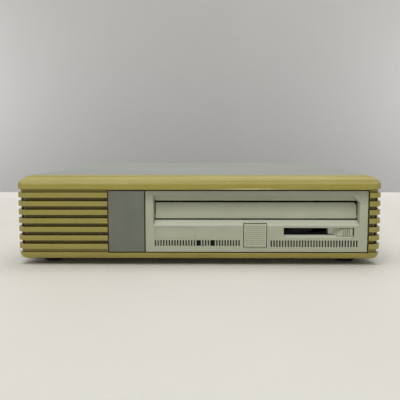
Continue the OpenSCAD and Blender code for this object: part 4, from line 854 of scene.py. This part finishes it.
PANELS: tuple[Panel, ...] = (
    Panel("overhead", place=(-0.1, 0.0, 1.3), aim=(0.0, -0.1, 0.0), width=1.9, depth=1.0,
          power=14.3, colour=(1.0, 0.985, 0.95)),
    Panel("key", place=(0.1, -0.9, 1.25), aim=(0.0, -0.12, 0.03), width=1.8, depth=0.4,
          power=5.3, colour=(1.0, 0.985, 0.96)),
    Panel("lamp", place=(0.13, -1.34, 0.28), aim=(0.05, -0.128, 0.053), width=0.08, depth=0.025,
          power=0.85, colour=(1.0, 0.985, 0.96)),
    *(Panel("wall_wash", place=(side * 0.8, 0.46, 0.2), aim=(side * 0.5, 0.85, 0.1), width=0.4,
            depth=0.3, power=2.0, colour=(1.0, 0.985, 0.98)) for side in (-1, 1)),
)
ROOM_COLOUR = (0.93, 0.95, 1.0, 1.0)
ROOM_STRENGTH = 0.12


@dataclass
class Studio:
    """The table, the wall behind it, the soft lights and the camera, in metres and degrees."""

    bench: Bench
    table_back: float = 0.444
    table_front: float = -1.2
    table_half: float = 1.6
    table_thick: float = 0.03
    table_edge: float = 0.004
    table_strips: int = 4
    wall_y: float = 0.85
    wall_size: float = 6.0
    wall_middle: float = 0.6
    camera_place: Point = (0.00389, -0.49728, 0.0810)
    camera_pitch: float = 84.27
    camera_yaw: float = 0.487
    camera_lens: float = 50.4
    camera_sensor: float = 36.0
    camera_nearest: float = 0.01

    def build(self) -> None:
        """Makes the table and the wall."""
        middle = (self.table_back + self.table_front) / 2
        bpy.ops.mesh.primitive_cube_add(size=1, location=(0, middle, -self.table_thick / 2))
        table = bpy.context.object
        table.name = "table_top"
        table.scale = (2 * self.table_half, self.table_back - self.table_front, self.table_thick)
        self.bench.settle(table)
        self.bench.round_edges(table, self.table_edge, self.table_strips)
        self.bench.paint(table, TABLE_TOP)
        bpy.ops.mesh.primitive_plane_add(size=self.wall_size, rotation=(math.pi / 2, 0, 0),
                                         location=(0, self.wall_y, self.wall_middle))
        wall = bpy.context.object
        wall.name = "back_wall"
        self.bench.settle(wall)
        self.bench.paint(wall, WALL_PAINT)

    def light(self) -> None:
        """Hangs the soft lights, and sets the faint light of the room."""
        for panel in PANELS:
            panel.hang()
        bpy.context.scene.view_settings.view_transform = "Standard"
        world = bpy.data.worlds.new("room")
        bpy.context.scene.world = world
        world.use_nodes = True
        background = world.node_tree.nodes["Background"]
        background.inputs["Color"].default_value = ROOM_COLOUR
        background.inputs["Strength"].default_value = ROOM_STRENGTH

    def aim_camera(self) -> None:
        """Sets the camera where the photograph was taken from."""
        bpy.ops.object.camera_add(location=self.camera_place, rotation=(
            math.radians(self.camera_pitch), 0, math.radians(self.camera_yaw)))
        camera = bpy.context.object
        camera.name = "camera"
        camera.data.lens = self.camera_lens
        camera.data.sensor_width = self.camera_sensor
        camera.data.clip_start = self.camera_nearest
        bpy.context.scene.camera = camera


def main() -> None:
    """Loads the frame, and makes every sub-assembly and the studio."""
    logging.basicConfig(level=logging.INFO, format="%(message)s")
    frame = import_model()
    bench = Bench(frame)
    studio = Studio(bench)
    studio.aim_camera()
    for assembly in (Case(bench), DriveFront(bench), DriveBody(bench), PowerSupply(bench),
                     RearConnectors(bench)):
        assembly.make()
    studio.build()
    studio.light()


if __name__ == "__main__":
    main()
